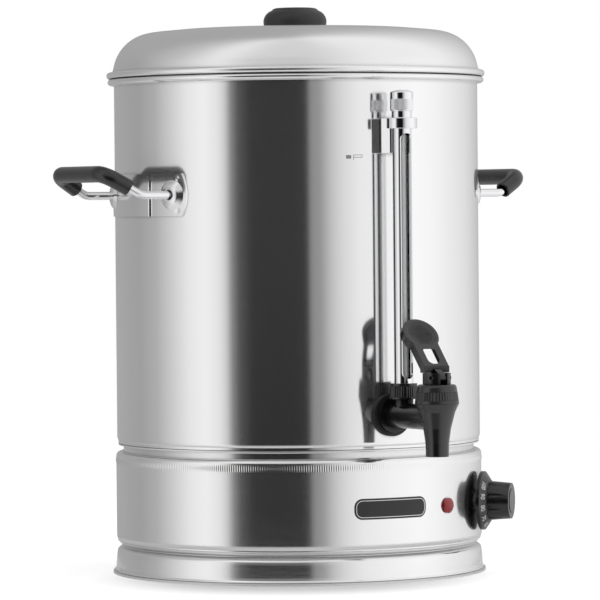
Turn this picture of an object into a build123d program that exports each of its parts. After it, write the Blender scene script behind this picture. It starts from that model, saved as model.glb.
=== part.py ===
from build123d import *

# Hot water urn: a stainless drum on a heated base, with a lid, two handles, a sight gauge, a lever tap and a
# thermostat dial. Millimetres. The origin is on the drum's axis at the counter, +Z is up, the tap faces -Y
# and the handles lie on +X and -X. A "reach" is a distance from the drum's axis.

import os
from math import asin, atan2, cos, degrees, pi, radians, sin, sqrt, tan

# ---- clearances ----
seam_gap = 0.1  # between parts that seat in or on each other
running_gap = 0.08  # radial, shaft in bearing
free_gap = 0.3  # between parts that move past each other

# ---- drum ----
sheet = 1.0  # stainless sheet
drum_radius = 158.0
drum_height = 312.8  # from the lower corner to the rim
drum_corner = 4.5
neck_step = 5.5  # the neck under the drum is this much narrower
neck_lap = 4.5  # and stands this deep in the base
drum_stand = 9.4  # from the base's top to the drum's lower corner
rim_overhang = 5.5
rim_height = 6.2
rim_round = 2.6
floor_sheet = 1.2

# ---- base ----
base_height = 101.0
base_step = 1.0  # the base is this much wider than the drum
base_corner = 4.0
base_lip_rise = 1.4
groove_depth = 4.6
groove_z = 19.6
groove_top = 26.0
bead_z = 14.6
bead_inset = 0.2
flare_z = 8.0
flare_spread = 1.0
foot_spread = 3.3
foot_rim_height = 2.0
foot_rim_width = 6.0
bottom_plate_z = 6.0
vent_count = 8
vent_length = 26.0
vent_width = 5.0
vent_inset = 49.0
bracket_count = 4
bracket_width = 14.0
bracket_leg = 16.0
bracket_angle = 22.5
bottom_screw_radius = 1.9
bottom_screw_head = 3.6
bottom_screw_head_height = 2.0
bottom_screw_grip = 3.0  # shows above the tab

# ---- lid ----
lid_overhang = 0.9  # the lid's rolled rim past the drum's
lid_rim_height = 6.5
lid_rim_round = 2.6
lid_crease = 5.2  # the crease above the rim is this much smaller
lid_crease_rise = 1.8
lid_dome_inset = 7.2  # from the crease to the shoulder's corner
lid_dome_rise = 28.9
lid_dome_round = 30.0
lid_crown_run = 47.0  # from the shoulder's corner inwards
lid_crown_rise = 5.7
lid_seat_rise = 2.9
lid_collar_depth = 9.0
lid_collar_gap = 1.0
knob_radius = 27.5
knob_swell_z = 2.0
knob_step_radius = 20.2
knob_step_z = 11.9
knob_shoulder_bulge = 2.1
knob_top_radius = 19.3
knob_top_z = 13.0
knob_height = 14.5
knob_screw_radius = 2.9
knob_screw_depth = 8.0
knob_screw_head = 5.0
knob_screw_head_height = 3.0
knob_washer_radius = 9.0
knob_washer_height = 1.5

# ---- handles ----
handle_drop = 95.7  # below the drum's rim
handle_spread = 52.5
plate_height = 36.0
plate_width = 135.0
plate_bulge = 4.7
plate_sheet = 1.5
plate_raise = 1.8  # the plate's middle stands this much off its ends
plate_raised_half = 27.6
weld_spread = 58.5
weld_rise = 13.4
weld_radius = 2.2
weld_depth = 0.5
boss_radius = 12.0
boss_height = 4.2
boss_top_radius = 6.5
rod_radius = 3.5
rod_bend_stand = 21.0  # from the drum to the left rods' bends
rod_bend_radius = 14.0
rod_rise = 30.0  # degrees
rod_run = 10.0  # from the bend to the left grip's end
right_bend_stand = 18.0  # the right rods are bent nearer to the drum
right_rod_run = 3.8  # and the grip sits further onto them
grip_splay = 15.3  # degrees between a grip's leg and the middle, seen from above
rod_socket = 13.0
grip_leg = 21.0
grip_radius = 7.0
grip_corner = 14.0

# ---- tap body ----
tap_rise = 31.1  # above the drum's lower corner
barrel_radius = 10.5
barrel_bore = 5.4
shank_radius = 9.9
shank_inside = 14.0
tap_flange_radius = 15.0
tap_flange = 3.0
tap_gasket_radius = 18.0
tap_gasket = 3.2
tap_washer_radius = 16.0
tap_washer = 2.0
tap_nut_across = 30.0
tap_nut_height = 7.0
spout_stand = 73.9  # from the drum to the spout's axis
outlet_drop = 31.7  # below the barrel's axis
spout_tip_radius = 9.5
spout_nose = 11.2  # above the outlet
spout_nose_radius = 9.8
spout_waist_drop = 8.5
spout_waist_radius = 11.5
spout_hip_rise = 4.9
spout_hip_radius = 15.0
chamber_rise = 12.0
chamber_rim_radius = 18.2
chamber_bore = 10.5
collar_radius = 13.9
collar_height = 6.5
seat_drop = 5.5
outlet_bore = 6.4

# ---- tap bonnet ----
bonnet_height = 16.0
bonnet_overhang = 0.25
bonnet_taper = 2.35
bonnet_round = 3.0
bonnet_roof = 6.5  # thickness under the turret
bonnet_spring_room = 9.0
bonnet_ribs = 48
rib_depth = 0.35
rib_foot = 2.5  # from the bonnet's lower edge to its ribs
rib_length = 7.2
turret_radius = 11.7
turret_height = 9.3
turret_slot = 6.8

# ---- tap lever ----
hinge_offset = 6.7  # the lever's hinge stands this far in front of the stem
hinge_depth = 3.8  # below the turret's top
hinge_pin_radius = 1.5
hinge_boss = 3.6
lever_pull = 45.0  # degrees
lever_root = 6.2
lever_width = 24.0
lever_sheet = 6.8
lever_web = 4.0  # thickness between the arm's side walls
lever_side = 2.6
lever_lean = 43.0  # degrees from vertical
lever_knee_offset = 0.5  # in front of the spout's axis
lever_knee_rise = 5.4  # above the turret
lever_foot_gap = 0.3
lever_foot = 6.8
lever_arm = 36.4
lever_edge = 0.7
window_width = 11.3
window_length = 16.2
window_start = 3.0
window_corner = 1.6
window_round = 5.0
paddle_radius = 16.2
thumb_radius = 13.4
thumb_depth = 2.4
nose_arm = 7.0
nose_boss = 2.3
nose_pin_radius = 1.1

# ---- tap stem ----
tang_width = 2.8
tang_depth = 4.8
tang_gap = 0.2
fork_rise = 2.0  # above the hinge
fork_depth = 18.0
fork_height = 12.0
stem_radius = 3.0
stem_shoulder = 3.5  # above the bonnet's roof
stem_flange_radius = 5.6
stem_flange = 1.0
cup_radius = 8.6
cup_height = 5.0
cup_socket = 2.8
spring_outer = 7.2
spring_inner = 5.9

# ---- sight gauge ----
gauge_stand = 21.2  # from the drum to the glass's axis
tee_radius = 7.9
tee_rise = 18.5
tee_bore = 4.3
glass_radius = 5.6
glass_bore = 4.2
glass_seat = 7.5  # above the barrel's axis
gauge_nut_lap = 4.3
gauge_nut_height = 12.9
gauge_nut_radius = 12.2
gauge_nut_taper = 1.0
gauge_nut_roof = 4.0
gauge_nut_ribs = 36
shield_radius = 8.0
shield_sheet = 0.9
shield_slot = 9.8
shield_slot_foot = 3.9
shield_slot_head = 5.6
arm_width = 25.0
arm_height = 29.5
arm_back = 3.2  # the arm's square part ends this far behind the glass's axis
ring_radius = 12.9
ring_height = 9.0
ring_drop = 33.2  # its top below the drum's rim
shield_lap = 1.6
glass_lap = 7.0
gauge_neck_radius = 8.5
gauge_neck = 5.7
spigot_radius = 7.0
spigot_height = 9.3
cap_radius = 9.7
cap_height = 17.9
cap_roof = 4.6
cap_seal = 1.5
arm_screw_radius = 2.4
arm_screw_head = 4.5
arm_screw_head_height = 2.6
arm_screw_depth = 9.0
arm_screw_spacing = 14.0

# ---- thermostat and pilot lamp ----
controls_z = 62.0
dial_angle = 46.0  # degrees from the tap towards +X
dial_stand = 3.6  # from the base to the dial's back
dial_length = 26.4
dial_skirt_radius = 25.3
dial_skirt_rim = 3.0
dial_cone = 5.0
dial_cone_radius = 18.0
dial_grip_radius = 16.9
dial_grip_end_radius = 15.4
dial_flutes = 9
dial_flute_radius = 3.0
dial_flute_depth = 1.2
dial_cap_radius = 10.5
dial_cap_height = 1.2
dial_cap_stand = 0.4
shaft_radius = 3.0
shaft_tip = 14.4  # into the dial from its back
shaft_tail = 4.5  # behind the thermostat's front
thermostat_width = 34.0
thermostat_depth = 26.0
thermostat_gap = 3.5  # behind the base's sheet
thermostat_bush = 5.0
thermostat_nut_across = 14.0
thermostat_nut_height = 3.0
pilot_angle = 22.8
pilot_bezel_radius = 6.5
pilot_bezel_height = 1.8
pilot_barrel = 4.8
pilot_depth = 26.0
pilot_lens_radius = 5.0
pilot_lens_height = 3.0
pilot_clip_radius = 7.5
pilot_clip_height = 2.0

# ---- heating and supply ----
element_radius = 70.0
element_height = 8.0
clamp_width = 16.0
clamp_height = 4.0
clamp_length = 120.0
stud_radius = 3.0
stud_tail = 4.0  # shows below the nut
stud_nut_across = 10.0
stud_nut_height = 5.0
bulb_radius = 3.0
bulb_length = 60.0
bulb_gap = 11.0  # from the element to the bulb
capillary_radius = 0.9
capillary_bend = 12.0
bulb_clip_sheet = 1.0
cutout_width = 30.0
cutout_height = 24.0
cutout_y = 70.0
reset_radius = 4.0
reset_length = 12.0
reset_stand = 3.0
reset_travel = 2.5
gland_z = 42.0
gland_bore = 4.5
gland_radius = 9.0
gland_thread = 7.8
gland_flange_radius = 11.5
gland_flange = 4.0
gland_out = 13.0
gland_in = 9.0
gland_nut_across = 20.0
gland_nut_height = 4.0
terminal_length = 36.0
terminal_depth = 16.0
terminal_height = 18.0
terminal_inset = 41.0
terminal_ways = 3
terminal_screw_radius = 3.0
terminal_screw_depth = 6.0
earth_radius = 2.5
earth_length = 14.0
earth_x = 40.0
earth_nut_across = 8.0
earth_nut_height = 4.0

# ---- worked out from the sizes above ----
neck_radius = drum_radius - neck_step
drum_bottom = base_height + drum_stand
drum_floor = drum_bottom + sheet
rim_bottom = drum_bottom + drum_height
rim_top = rim_bottom + rim_height
wall_inner = drum_radius - sheet
base_radius = drum_radius + base_step
foot_radius = base_radius + foot_spread
groove_radius = base_radius - groove_depth
lid_foot_z = rim_top + free_gap
lid_seat_z = lid_foot_z + lid_rim_height + lid_crease_rise + lid_dome_rise + lid_crown_rise + lid_seat_rise
handle_z = rim_bottom - handle_drop
tap_z = drum_bottom + tap_rise
spout_reach = drum_radius + spout_stand
chamber_top = tap_z + chamber_rise
seat_z = tap_z - seat_drop
bonnet_bottom = chamber_top + seam_gap
bonnet_top = chamber_top + bonnet_height
bonnet_roof_z = bonnet_top - bonnet_roof
bonnet_radius = chamber_rim_radius + bonnet_overhang
turret_top = bonnet_top + turret_height
hinge_reach = spout_reach + hinge_offset
hinge_z = turret_top - hinge_depth
gauge_reach = drum_radius + gauge_stand
tee_top = tap_z + tee_rise
glass_bottom = tap_z + glass_seat
gauge_nut_bottom = tee_top - gauge_nut_lap
gauge_nut_top = gauge_nut_bottom + gauge_nut_height
ring_top = rim_bottom - ring_drop
ring_bottom = ring_top - ring_height
arm_bottom = ring_top - arm_height
shield_top = ring_bottom + shield_lap
glass_top = ring_bottom + glass_lap
gauge_neck_top = ring_top + gauge_neck
spigot_top = gauge_neck_top + spigot_height
cap_top = gauge_neck_top + cap_height
dial_back_reach = base_radius + dial_stand
dial_end_reach = dial_back_reach + dial_length
thermostat_front_reach = base_radius - sheet - thermostat_gap


def lathe(outer, inner):
    """Solid turned about Z: a rounded outer line of (radius, z) points, closed by straight inner lines."""
    section = outer.edges() + Polyline(outer @ 1, *inner, outer @ 0).edges()
    return revolve(Plane.XZ * make_face(section), Axis.Z)


def turned(*points):
    """Solid of revolution about Z whose section is a polygon of (radius, z) points."""
    return revolve(Plane.XZ * make_face(Polyline(*points, close=True)), Axis.Z)


def inside_of(arc, wall, steps=3):
    """Points, highest first, along the arc that lies a wall's thickness inside a rounded corner."""
    centre = arc.arc_center
    points = [centre + (arc @ (i / steps) - centre) * (1 - wall / arc.radius) for i in range(steps + 1)]
    return sorted(points, key=lambda point: -point.Y)


def upright(radius, bottom, top, reach=0, x=0):
    """Vertical cylinder at a reach in front of the axis."""
    return Pos(x, -reach, (bottom + top) / 2) * Cylinder(radius, top - bottom)


def spoke(radius, near, far, z, x=0):
    """Cylinder along -Y between two reaches."""
    return Pos(x, -(near + far) / 2, z) * Rot(90, 0, 0) * Cylinder(radius, far - near)


def hexagon(across, near, far, z):
    """Hexagonal prism along -Y between two reaches."""
    flat = RegularPolygon(across / 2, 6, major_radius=False)
    return Pos(0, -near, z) * Rot(90, 0, 0) * extrude(flat, far - near)


def crossbar(radius, length, reach, z):
    """Cylinder along X, centred on the tap's plane."""
    return Pos(0, -reach, z) * Rot(0, 90, 0) * Cylinder(radius, length)


def turn(angle, shape):
    """Carries a shape built in front (-Y) round the drum, towards +X."""
    return Rot(0, 0, angle) * shape


def ring_of(shape, count, first=0.0):
    """Copies of a shape spread evenly round the Z axis."""
    return Compound(children=[Rot(0, 0, first + 360 * i / count) * shape for i in range(count)])


def ball_radius(rim, depth):
    """Radius of the ball that cuts a dish of this rim radius and depth."""
    return (rim**2 + depth**2) / (2 * depth)


def rib_cutter(count, bottom, top, radius, top_radius):
    """What a band of fine V ribs leaves to cut away from a cone: a collar round a tapered star."""

    def star(tip, z):
        corners = []
        for i in range(2 * count):
            reach = tip - rib_depth * (i % 2)
            corners.append((reach * cos(pi * i / count), reach * sin(pi * i / count)))
        return Pos(0, 0, z) * make_face(Polyline(*corners, close=True))

    skin = 0.02  # the tips stay this far under the cone
    band = loft([star(radius - skin, bottom), star(top_radius - skin, top)], ruled=True)
    return upright(radius + 1, bottom, top) - band


def drum():
    """The tank's wall and floor."""
    outer = FilletPolyline(
        (neck_radius, base_height - neck_lap),
        (neck_radius, drum_bottom),
        (drum_radius, drum_bottom),
        (drum_radius, rim_bottom),
        (drum_radius + rim_overhang, rim_bottom),
        (drum_radius + rim_overhang, rim_top),
        (wall_inner, rim_top),
        radius=[0, drum_corner, 0, rim_round, rim_round],
    )
    neck_inner = neck_radius - sheet
    inner = [(wall_inner, drum_floor), (neck_inner, drum_floor), (neck_inner, base_height - neck_lap)]
    wall = lathe(outer, inner)
    wall -= spoke(shank_radius + seam_gap, wall_inner - 5, drum_radius + 2, tap_z)
    for z in arm_screw_levels():
        wall -= spoke(arm_screw_radius + seam_gap, wall_inner - 5, drum_radius + 2, z)
    floor = upright(wall_inner - seam_gap, drum_floor, drum_floor + floor_sheet)
    return {"tank_wall": wall, "tank_floor": floor}


def base_shell():
    """The base's outer shell, with its groove and foot, and holes for the dial, the lamp and the gland."""
    lip_radius = neck_radius + seam_gap
    inner = base_radius - sheet
    foot_top = foot_rim_height + seam_gap
    outer = FilletPolyline(
        (foot_radius, foot_top),
        (base_radius + flare_spread, flare_z),
        (base_radius - bead_inset, bead_z),
        (groove_radius, groove_z),
        (base_radius, groove_top),
        (base_radius, base_height),
        (lip_radius, base_height + base_lip_rise),
        radius=[0, 1.5, 2.5, 3, base_corner],
    )
    shell = lathe(
        outer,
        [
            (lip_radius, base_height - sheet),
            (inner, base_height - sheet),
            (inner, groove_top + sheet),
            (groove_radius - sheet, groove_z),
            (inner - sheet, bead_z - sheet),
            (foot_radius - sheet, foot_top),
        ],
    )
    shell -= turn(dial_angle, spoke(thermostat_bush + seam_gap, inner - 6, base_radius + 2, controls_z))
    shell -= turn(pilot_angle, spoke(pilot_barrel + seam_gap, inner - 6, base_radius + 2, controls_z))
    shell -= turn(180, spoke(gland_thread + seam_gap, inner - 6, base_radius + 2, gland_z))
    return shell


def bottom():
    """The bottom plate with its standing rim and vents, the tabs that carry it and their screws."""
    rim_inner = foot_radius - foot_rim_width
    plate_top = bottom_plate_z + sheet
    plate = turned(
        (0, bottom_plate_z),
        (rim_inner, bottom_plate_z),
        (rim_inner, 0),
        (foot_radius, 0),
        (foot_radius, foot_rim_height),
        (rim_inner + sheet, foot_rim_height),
        (rim_inner + sheet, plate_top),
        (0, plate_top),
    )
    vent = Pos(base_radius - vent_inset, 0, bottom_plate_z) * Box(vent_length, vent_width, 4 * sheet)
    plate -= ring_of(vent, vent_count)
    plate -= upright(reset_radius + free_gap, 0, plate_top + 1, -cutout_y)

    # L-shaped tabs stand on the bottom plate, against the inside of the groove
    leg_half = bracket_width / 2
    tab_outer = sqrt((groove_radius - sheet - seam_gap) ** 2 - leg_half**2)
    foot_bottom = plate_top + seam_gap
    foot = Box(bracket_leg, bracket_width, sheet)
    foot = Pos(tab_outer - bracket_leg / 2, 0, foot_bottom + sheet / 2) * foot
    leg_top = groove_z + sheet
    leg = Box(sheet, bracket_width, leg_top - foot_bottom)
    screw_reach = tab_outer - bracket_leg / 2
    tab = foot + Pos(tab_outer - sheet / 2, 0, (foot_bottom + leg_top) / 2) * leg
    tab -= Pos(screw_reach, 0, foot_bottom) * Cylinder(bottom_screw_radius, 6 * sheet)
    hole = Pos(screw_reach, 0, bottom_plate_z) * Cylinder(bottom_screw_radius + seam_gap, 4 * sheet)
    plate -= ring_of(hole, bracket_count, bracket_angle)
    head_bottom = bottom_plate_z - bottom_screw_head_height
    screw = upright(bottom_screw_head, head_bottom, bottom_plate_z, 0, screw_reach)
    tip = foot_bottom + sheet + bottom_screw_grip
    screw += upright(bottom_screw_radius - seam_gap / 2, head_bottom, tip, 0, screw_reach)
    return {
        "bottom_plate": plate,
        "base_brackets": ring_of(tab, bracket_count, bracket_angle),
        "bottom_plate_screws": ring_of(screw, bracket_count, bracket_angle),
    }


def lid_shell():
    """The domed lid with its rolled rim and the collar that drops inside the drum."""
    rim_radius = drum_radius + rim_overhang + lid_overhang
    crease_radius = rim_radius - lid_crease
    crease_z = lid_foot_z + lid_rim_height + lid_crease_rise
    shoulder_radius = crease_radius - lid_dome_inset
    shoulder_z = crease_z + lid_dome_rise
    crown_radius = shoulder_radius - lid_crown_run
    crown_z = shoulder_z + lid_crown_rise
    seat_radius = knob_radius + 1
    collar_outer = wall_inner - lid_collar_gap
    collar_inner = collar_outer - sheet
    collar_foot = rim_top - lid_collar_depth
    outer = FilletPolyline(
        (collar_outer, lid_foot_z),
        (rim_radius, lid_foot_z),
        (rim_radius, lid_foot_z + lid_rim_height),
        (crease_radius, crease_z),
        (shoulder_radius, shoulder_z),
        (crown_radius, crown_z),
        (seat_radius, lid_seat_z),
        (0, lid_seat_z),
        radius=[1.5, lid_rim_round, 0, lid_dome_round, 0, 0],
    )
    shoulder = outer.edges().filter_by(GeomType.CIRCLE).sort_by(SortBy.RADIUS)[-1]
    shell = lathe(
        outer,
        [
            (0, lid_seat_z - sheet),
            (seat_radius, lid_seat_z - sheet),
            (crown_radius, crown_z - sheet),
            *inside_of(shoulder, sheet),
            (crease_radius - sheet, crease_z),
            (collar_inner, lid_foot_z + lid_rim_height - sheet),
            (collar_inner, collar_foot),
            (collar_outer, collar_foot),
        ],
    )
    return shell - upright(knob_screw_radius + seam_gap, lid_seat_z - 3 * sheet, lid_seat_z + 1)


def lid_knob():
    """The stepped knob, and the screw and washer that hold it from inside the lid."""
    z = lid_seat_z
    foot = Polyline((0, z), (knob_radius - 0.4, z), (knob_radius, z + knob_swell_z))
    side = SagittaArc(foot @ 1, (knob_step_radius, z + knob_step_z), -knob_shoulder_bulge)
    top = FilletPolyline(
        side @ 1,
        (knob_top_radius, z + knob_top_z),
        (knob_top_radius - 2, z + knob_height - 0.4),
        (0, z + knob_height),
        radius=[0, 3],
    )
    section = foot.edges() + side.edges() + top.edges() + Line(top @ 1, foot @ 0).edges()
    knob = revolve(Plane.XZ * make_face(section), Axis.Z)
    knob -= upright(knob_screw_radius, z - 1, z + knob_screw_depth)
    under = z - sheet
    head_top = under - knob_washer_height
    washer = upright(knob_washer_radius, head_top, under)
    washer -= upright(knob_screw_radius + seam_gap, head_top - 1, under + 1)
    screw = upright(knob_screw_head, head_top - knob_screw_head_height, head_top)
    screw += upright(knob_screw_radius - seam_gap / 2, head_top, z + knob_screw_depth - 1)
    return {"lid_knob": knob, "lid_knob_screw": screw, "lid_knob_washer": washer}


def handle_bracket():
    """The pressed plate, on +X: round ends, a raised middle, two domed bosses and four spot welds."""
    inner = drum_radius + seam_gap
    outer = inner + plate_sheet
    half, tall = plate_width / 2 - plate_bulge, plate_height / 2
    outline = Line((-half, -tall), (half, -tall)).edges()
    outline += ThreePointArc((half, -tall), (half + plate_bulge, 0), (half, tall)).edges()
    outline += Line((half, tall), (-half, tall)).edges()
    outline += ThreePointArc((-half, tall), (-half - plate_bulge, 0), (-half, -tall)).edges()
    blank = Pos(0, 0, handle_z) * extrude(Plane.YZ * make_face(outline), 2 * drum_radius)

    middle = Rectangle(4 * drum_radius, 2 * plate_raised_half)
    section = Circle(outer) - Circle(inner) - middle
    section += (Circle(outer + plate_raise) - Circle(inner + plate_raise)) & middle
    step = Rectangle(4 * drum_radius, plate_sheet)
    for side in (-1, 1):
        place = Pos(0, side * (plate_raised_half - plate_sheet / 2))
        section += (Circle(outer + plate_raise) - Circle(inner)) & (place * step)
    plate = blank & (Pos(0, 0, handle_z - tall) * extrude(section, plate_height))

    dome = [
        (inner, 0),
        (inner, boss_radius),
        (outer, boss_radius),
        (inner + boss_height, boss_top_radius),
        (inner + boss_height, 0),
    ]
    room = [
        (inner - 1, 0),
        (inner - 1, boss_radius - plate_sheet),
        (inner + boss_height - plate_sheet, boss_top_radius - plate_sheet / 2),
        (inner + boss_height - plate_sheet, 0),
    ]
    boss, hollow = (revolve(make_face(Polyline(*line, close=True)), Axis.X) for line in (dome, room))
    boss_turn = degrees(asin(handle_spread / outer))
    weld_turn = degrees(asin(weld_spread / outer))
    ball = ball_radius(weld_radius, weld_depth)
    for side in (-1, 1):
        place = Pos(0, 0, handle_z) * Rot(0, 0, side * boss_turn)
        plate += place * boss - upright(inner, handle_z - tall, handle_z + tall)
        plate -= place * hollow
        plate -= Pos(drum_radius, side * handle_spread, handle_z) * Rot(0, 90, 0) * Cylinder(
            rod_radius + seam_gap, 4 * boss_height + 4 * plate_sheet
        )
        for rise in (-weld_rise, weld_rise):
            weld = Pos(outer + ball - weld_depth, 0, handle_z + rise) * Sphere(ball)
            plate -= Rot(0, 0, side * weld_turn) * weld
    return plate


def handle(bend_stand, run):
    """One handle, on +X: bracket, two bent rods and the moulded grip, whose legs splay towards the drum."""
    bend_reach = drum_radius + bend_stand
    start_reach = bend_reach + run
    grip_reach = start_reach + grip_leg
    rise = tan(radians(rod_rise))
    splay = tan(radians(grip_splay))
    starts = []
    corners = []
    for side in (-1, 1):
        starts.append((start_reach, side * (handle_spread - run * splay), handle_z + run * rise))
        corner_y = side * (handle_spread - (run + grip_leg) * splay)
        corners.append((grip_reach, corner_y, handle_z + (run + grip_leg) * rise))
    grip_path = FilletPolyline(starts[0], corners[0], corners[1], starts[1], radius=grip_corner)
    grip = sweep(Plane(grip_path @ 0, z_dir=grip_path % 0) * Circle(grip_radius), grip_path)
    rod_start = sqrt(drum_radius**2 - (handle_spread - rod_radius) ** 2) + free_gap
    rods = []
    for side, start, corner in zip((-1, 1), starts, corners):
        along = (Vector(corner) - Vector(start)).normalized()
        path = FilletPolyline(
            (rod_start, side * handle_spread, handle_z),
            (bend_reach, side * handle_spread, handle_z),
            Vector(start) + along * rod_socket,
            radius=rod_bend_radius,
        )
        rods.append(sweep(Plane(path @ 0, z_dir=(1, 0, 0)) * Circle(rod_radius), path))
        grip -= extrude(Plane(start, z_dir=along) * Circle(rod_radius + seam_gap / 2), rod_socket + seam_gap)
    return handle_bracket(), Compound(children=rods), grip


def handles():
    """Both handles: the left one is a mirror image with its grip further out."""
    names = ("handle_bracket", "handle_rods", "handle_grip")
    nodes = {}
    for name, shape in zip(names, handle(right_bend_stand, right_rod_run)):
        nodes[name + "_right"] = shape
    for name, shape in zip(names, handle(rod_bend_stand, rod_run)):
        nodes[name + "_left"] = mirror(shape, Plane.YZ)
    return nodes


def arm_screw_levels():
    """Heights of the two screws that hold the gauge's top arm."""
    middle = (arm_bottom + ring_top) / 2
    return middle - arm_screw_spacing / 2, middle + arm_screw_spacing / 2


def gauge_foot():
    """The ribbed nut and the seal that hold the glass in the tap's tee."""
    seat = gauge_nut_top - gauge_nut_roof
    nut = turned(
        (tee_radius + seam_gap, gauge_nut_bottom),
        (gauge_nut_radius, gauge_nut_bottom),
        (gauge_nut_radius - gauge_nut_taper, gauge_nut_top),
        (glass_radius + free_gap, gauge_nut_top),
        (glass_radius + free_gap, seat),
        (tee_radius + seam_gap, seat),
    )
    slope = gauge_nut_taper / gauge_nut_height
    foot, head = 1.5, gauge_nut_height - 2.0
    nut -= rib_cutter(
        gauge_nut_ribs,
        gauge_nut_bottom + foot,
        gauge_nut_bottom + head,
        gauge_nut_radius - slope * foot,
        gauge_nut_radius - slope * head,
    )
    seal = upright(tee_radius - seam_gap, tee_top + seam_gap, seat - seam_gap, gauge_reach)
    seal -= upright(glass_radius + seam_gap / 2, tee_top, seat, gauge_reach)
    return {"gauge_nut": Pos(0, -gauge_reach, 0) * nut, "gauge_seal_lower": seal}


def gauge_tube():
    """The glass and the slotted chrome shield round it."""
    at = gauge_reach
    glass = upright(glass_radius, glass_bottom, glass_top, at)
    glass -= upright(glass_bore, glass_bottom - 1, glass_top + 1, at)
    shield = upright(shield_radius, gauge_nut_top + seam_gap, shield_top, at)
    shield -= upright(shield_radius - shield_sheet, gauge_nut_top - 1, shield_top + 1, at)
    slot_foot = gauge_nut_top + shield_slot_foot
    slot_head = shield_top - shield_slot_head
    slot = SlotOverall(slot_head - slot_foot, shield_slot, rotation=90)
    shield -= Pos(0, -at, (slot_foot + slot_head) / 2) * extrude(Plane.XZ * slot, 2 * shield_radius)
    return {"gauge_glass": glass, "gauge_shield": shield}


def gauge_head():
    """The top arm with its ring, neck and spigot, its screws, and the screw cap with its seal."""
    at = gauge_reach
    arm_far = at - arm_back
    arm = Pos(0, -(drum_radius - 6 + arm_far) / 2, (arm_bottom + ring_top) / 2) * Box(
        arm_width, arm_far - drum_radius + 6, ring_top - arm_bottom
    )
    arm += upright(ring_radius, ring_bottom, ring_top, at)
    arm += upright(gauge_neck_radius, ring_top, gauge_neck_top, at)
    arm += upright(spigot_radius, gauge_neck_top, spigot_top, at)
    arm -= upright(drum_radius + seam_gap, arm_bottom - 1, ring_top + 1)
    arm -= upright(shield_radius + seam_gap, arm_bottom - 1, shield_top + seam_gap, at)
    arm -= upright(glass_radius + seam_gap, shield_top - 1, glass_top + seam_gap, at)
    arm -= upright(tee_bore, glass_top, spigot_top + 1, at)
    screw_tip = drum_radius + arm_screw_depth
    screws = []
    for z in arm_screw_levels():
        arm -= spoke(arm_screw_radius + seam_gap / 2, drum_radius - 2, screw_tip + seam_gap, z)
        head = spoke(arm_screw_head, wall_inner - arm_screw_head_height - 1, wall_inner - seam_gap, z)
        screws.append(head + spoke(arm_screw_radius, wall_inner - 1, screw_tip, z))

    cap_foot = gauge_neck_top + seam_gap
    cap = upright(cap_radius, cap_foot, cap_top, at)
    cap -= upright(spigot_radius + running_gap, cap_foot - 1, cap_top - cap_roof, at)
    seal_foot = spigot_top + seam_gap
    return {
        "gauge_arm": arm,
        "gauge_arm_screws": Compound(children=screws),
        "gauge_cap": cap,
        "gauge_cap_seal": upright(spigot_radius - seam_gap, seal_foot, seal_foot + cap_seal, at),
    }


def nose_place():
    """Reach and height of the lever's nose pin at rest: half the pull below the hinge's level."""
    sag = radians(lever_pull / 2)
    return hinge_reach - nose_arm * cos(sag), hinge_z - nose_arm * sin(sag)


def tap_body():
    """Barrel, gauge tee, valve chamber and spout, in one moulding."""
    at = spout_reach
    outlet = tap_z - outlet_drop
    gasket_far = drum_radius + tap_gasket
    shank_end = wall_inner - shank_inside
    spout = Pos(0, -at, 0) * turned(
        (0, outlet),
        (spout_tip_radius, outlet),
        (spout_nose_radius, outlet + spout_nose),
        (spout_waist_radius, tap_z - spout_waist_drop),
        (spout_hip_radius, tap_z + spout_hip_rise),
        (chamber_rim_radius, chamber_top),
        (collar_radius, chamber_top),
        (collar_radius, chamber_top + collar_height),
        (0, chamber_top + collar_height),
    )
    body = spout + spoke(barrel_radius, gasket_far + tap_flange, at, tap_z)
    body += spoke(tap_flange_radius, gasket_far + seam_gap, gasket_far + seam_gap + tap_flange, tap_z)
    body += spoke(shank_radius, shank_end, gasket_far + seam_gap, tap_z)
    body += upright(tee_radius, tap_z, tee_top, gauge_reach)
    body -= spoke(barrel_bore, shank_end - 1, at - chamber_bore + 2, tap_z)
    body -= upright(tee_bore, tap_z, tee_top + 1, gauge_reach)
    body -= upright(glass_radius + seam_gap, glass_bottom - seam_gap, tee_top + 1, gauge_reach)
    body -= upright(chamber_bore, seat_z, chamber_top + collar_height + 1, at)
    body -= upright(outlet_bore, outlet - 1, seat_z + 1, at)
    return body


def tap_fixings():
    """Saddle gasket outside the drum, washer and nut inside it."""
    flange_face = drum_radius + tap_gasket
    bore = spoke(shank_radius + seam_gap, wall_inner - 20, flange_face + 5, tap_z)
    gasket = spoke(tap_gasket_radius, drum_radius - 4, flange_face, tap_z)
    gasket -= upright(drum_radius + seam_gap / 2, tap_z - 30, tap_z + 30)
    washer_face = sqrt(wall_inner**2 - tap_washer_radius**2) - tap_washer
    washer = spoke(tap_washer_radius, washer_face, wall_inner + 1, tap_z)
    washer &= upright(wall_inner - seam_gap / 2, tap_z - 30, tap_z + 30)
    nut_face = washer_face - seam_gap
    nut = hexagon(tap_nut_across, nut_face - tap_nut_height, nut_face, tap_z)
    return {"tap_gasket_outer": gasket - bore, "tap_gasket_inner": washer - bore, "tap_nut": nut - bore}


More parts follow.
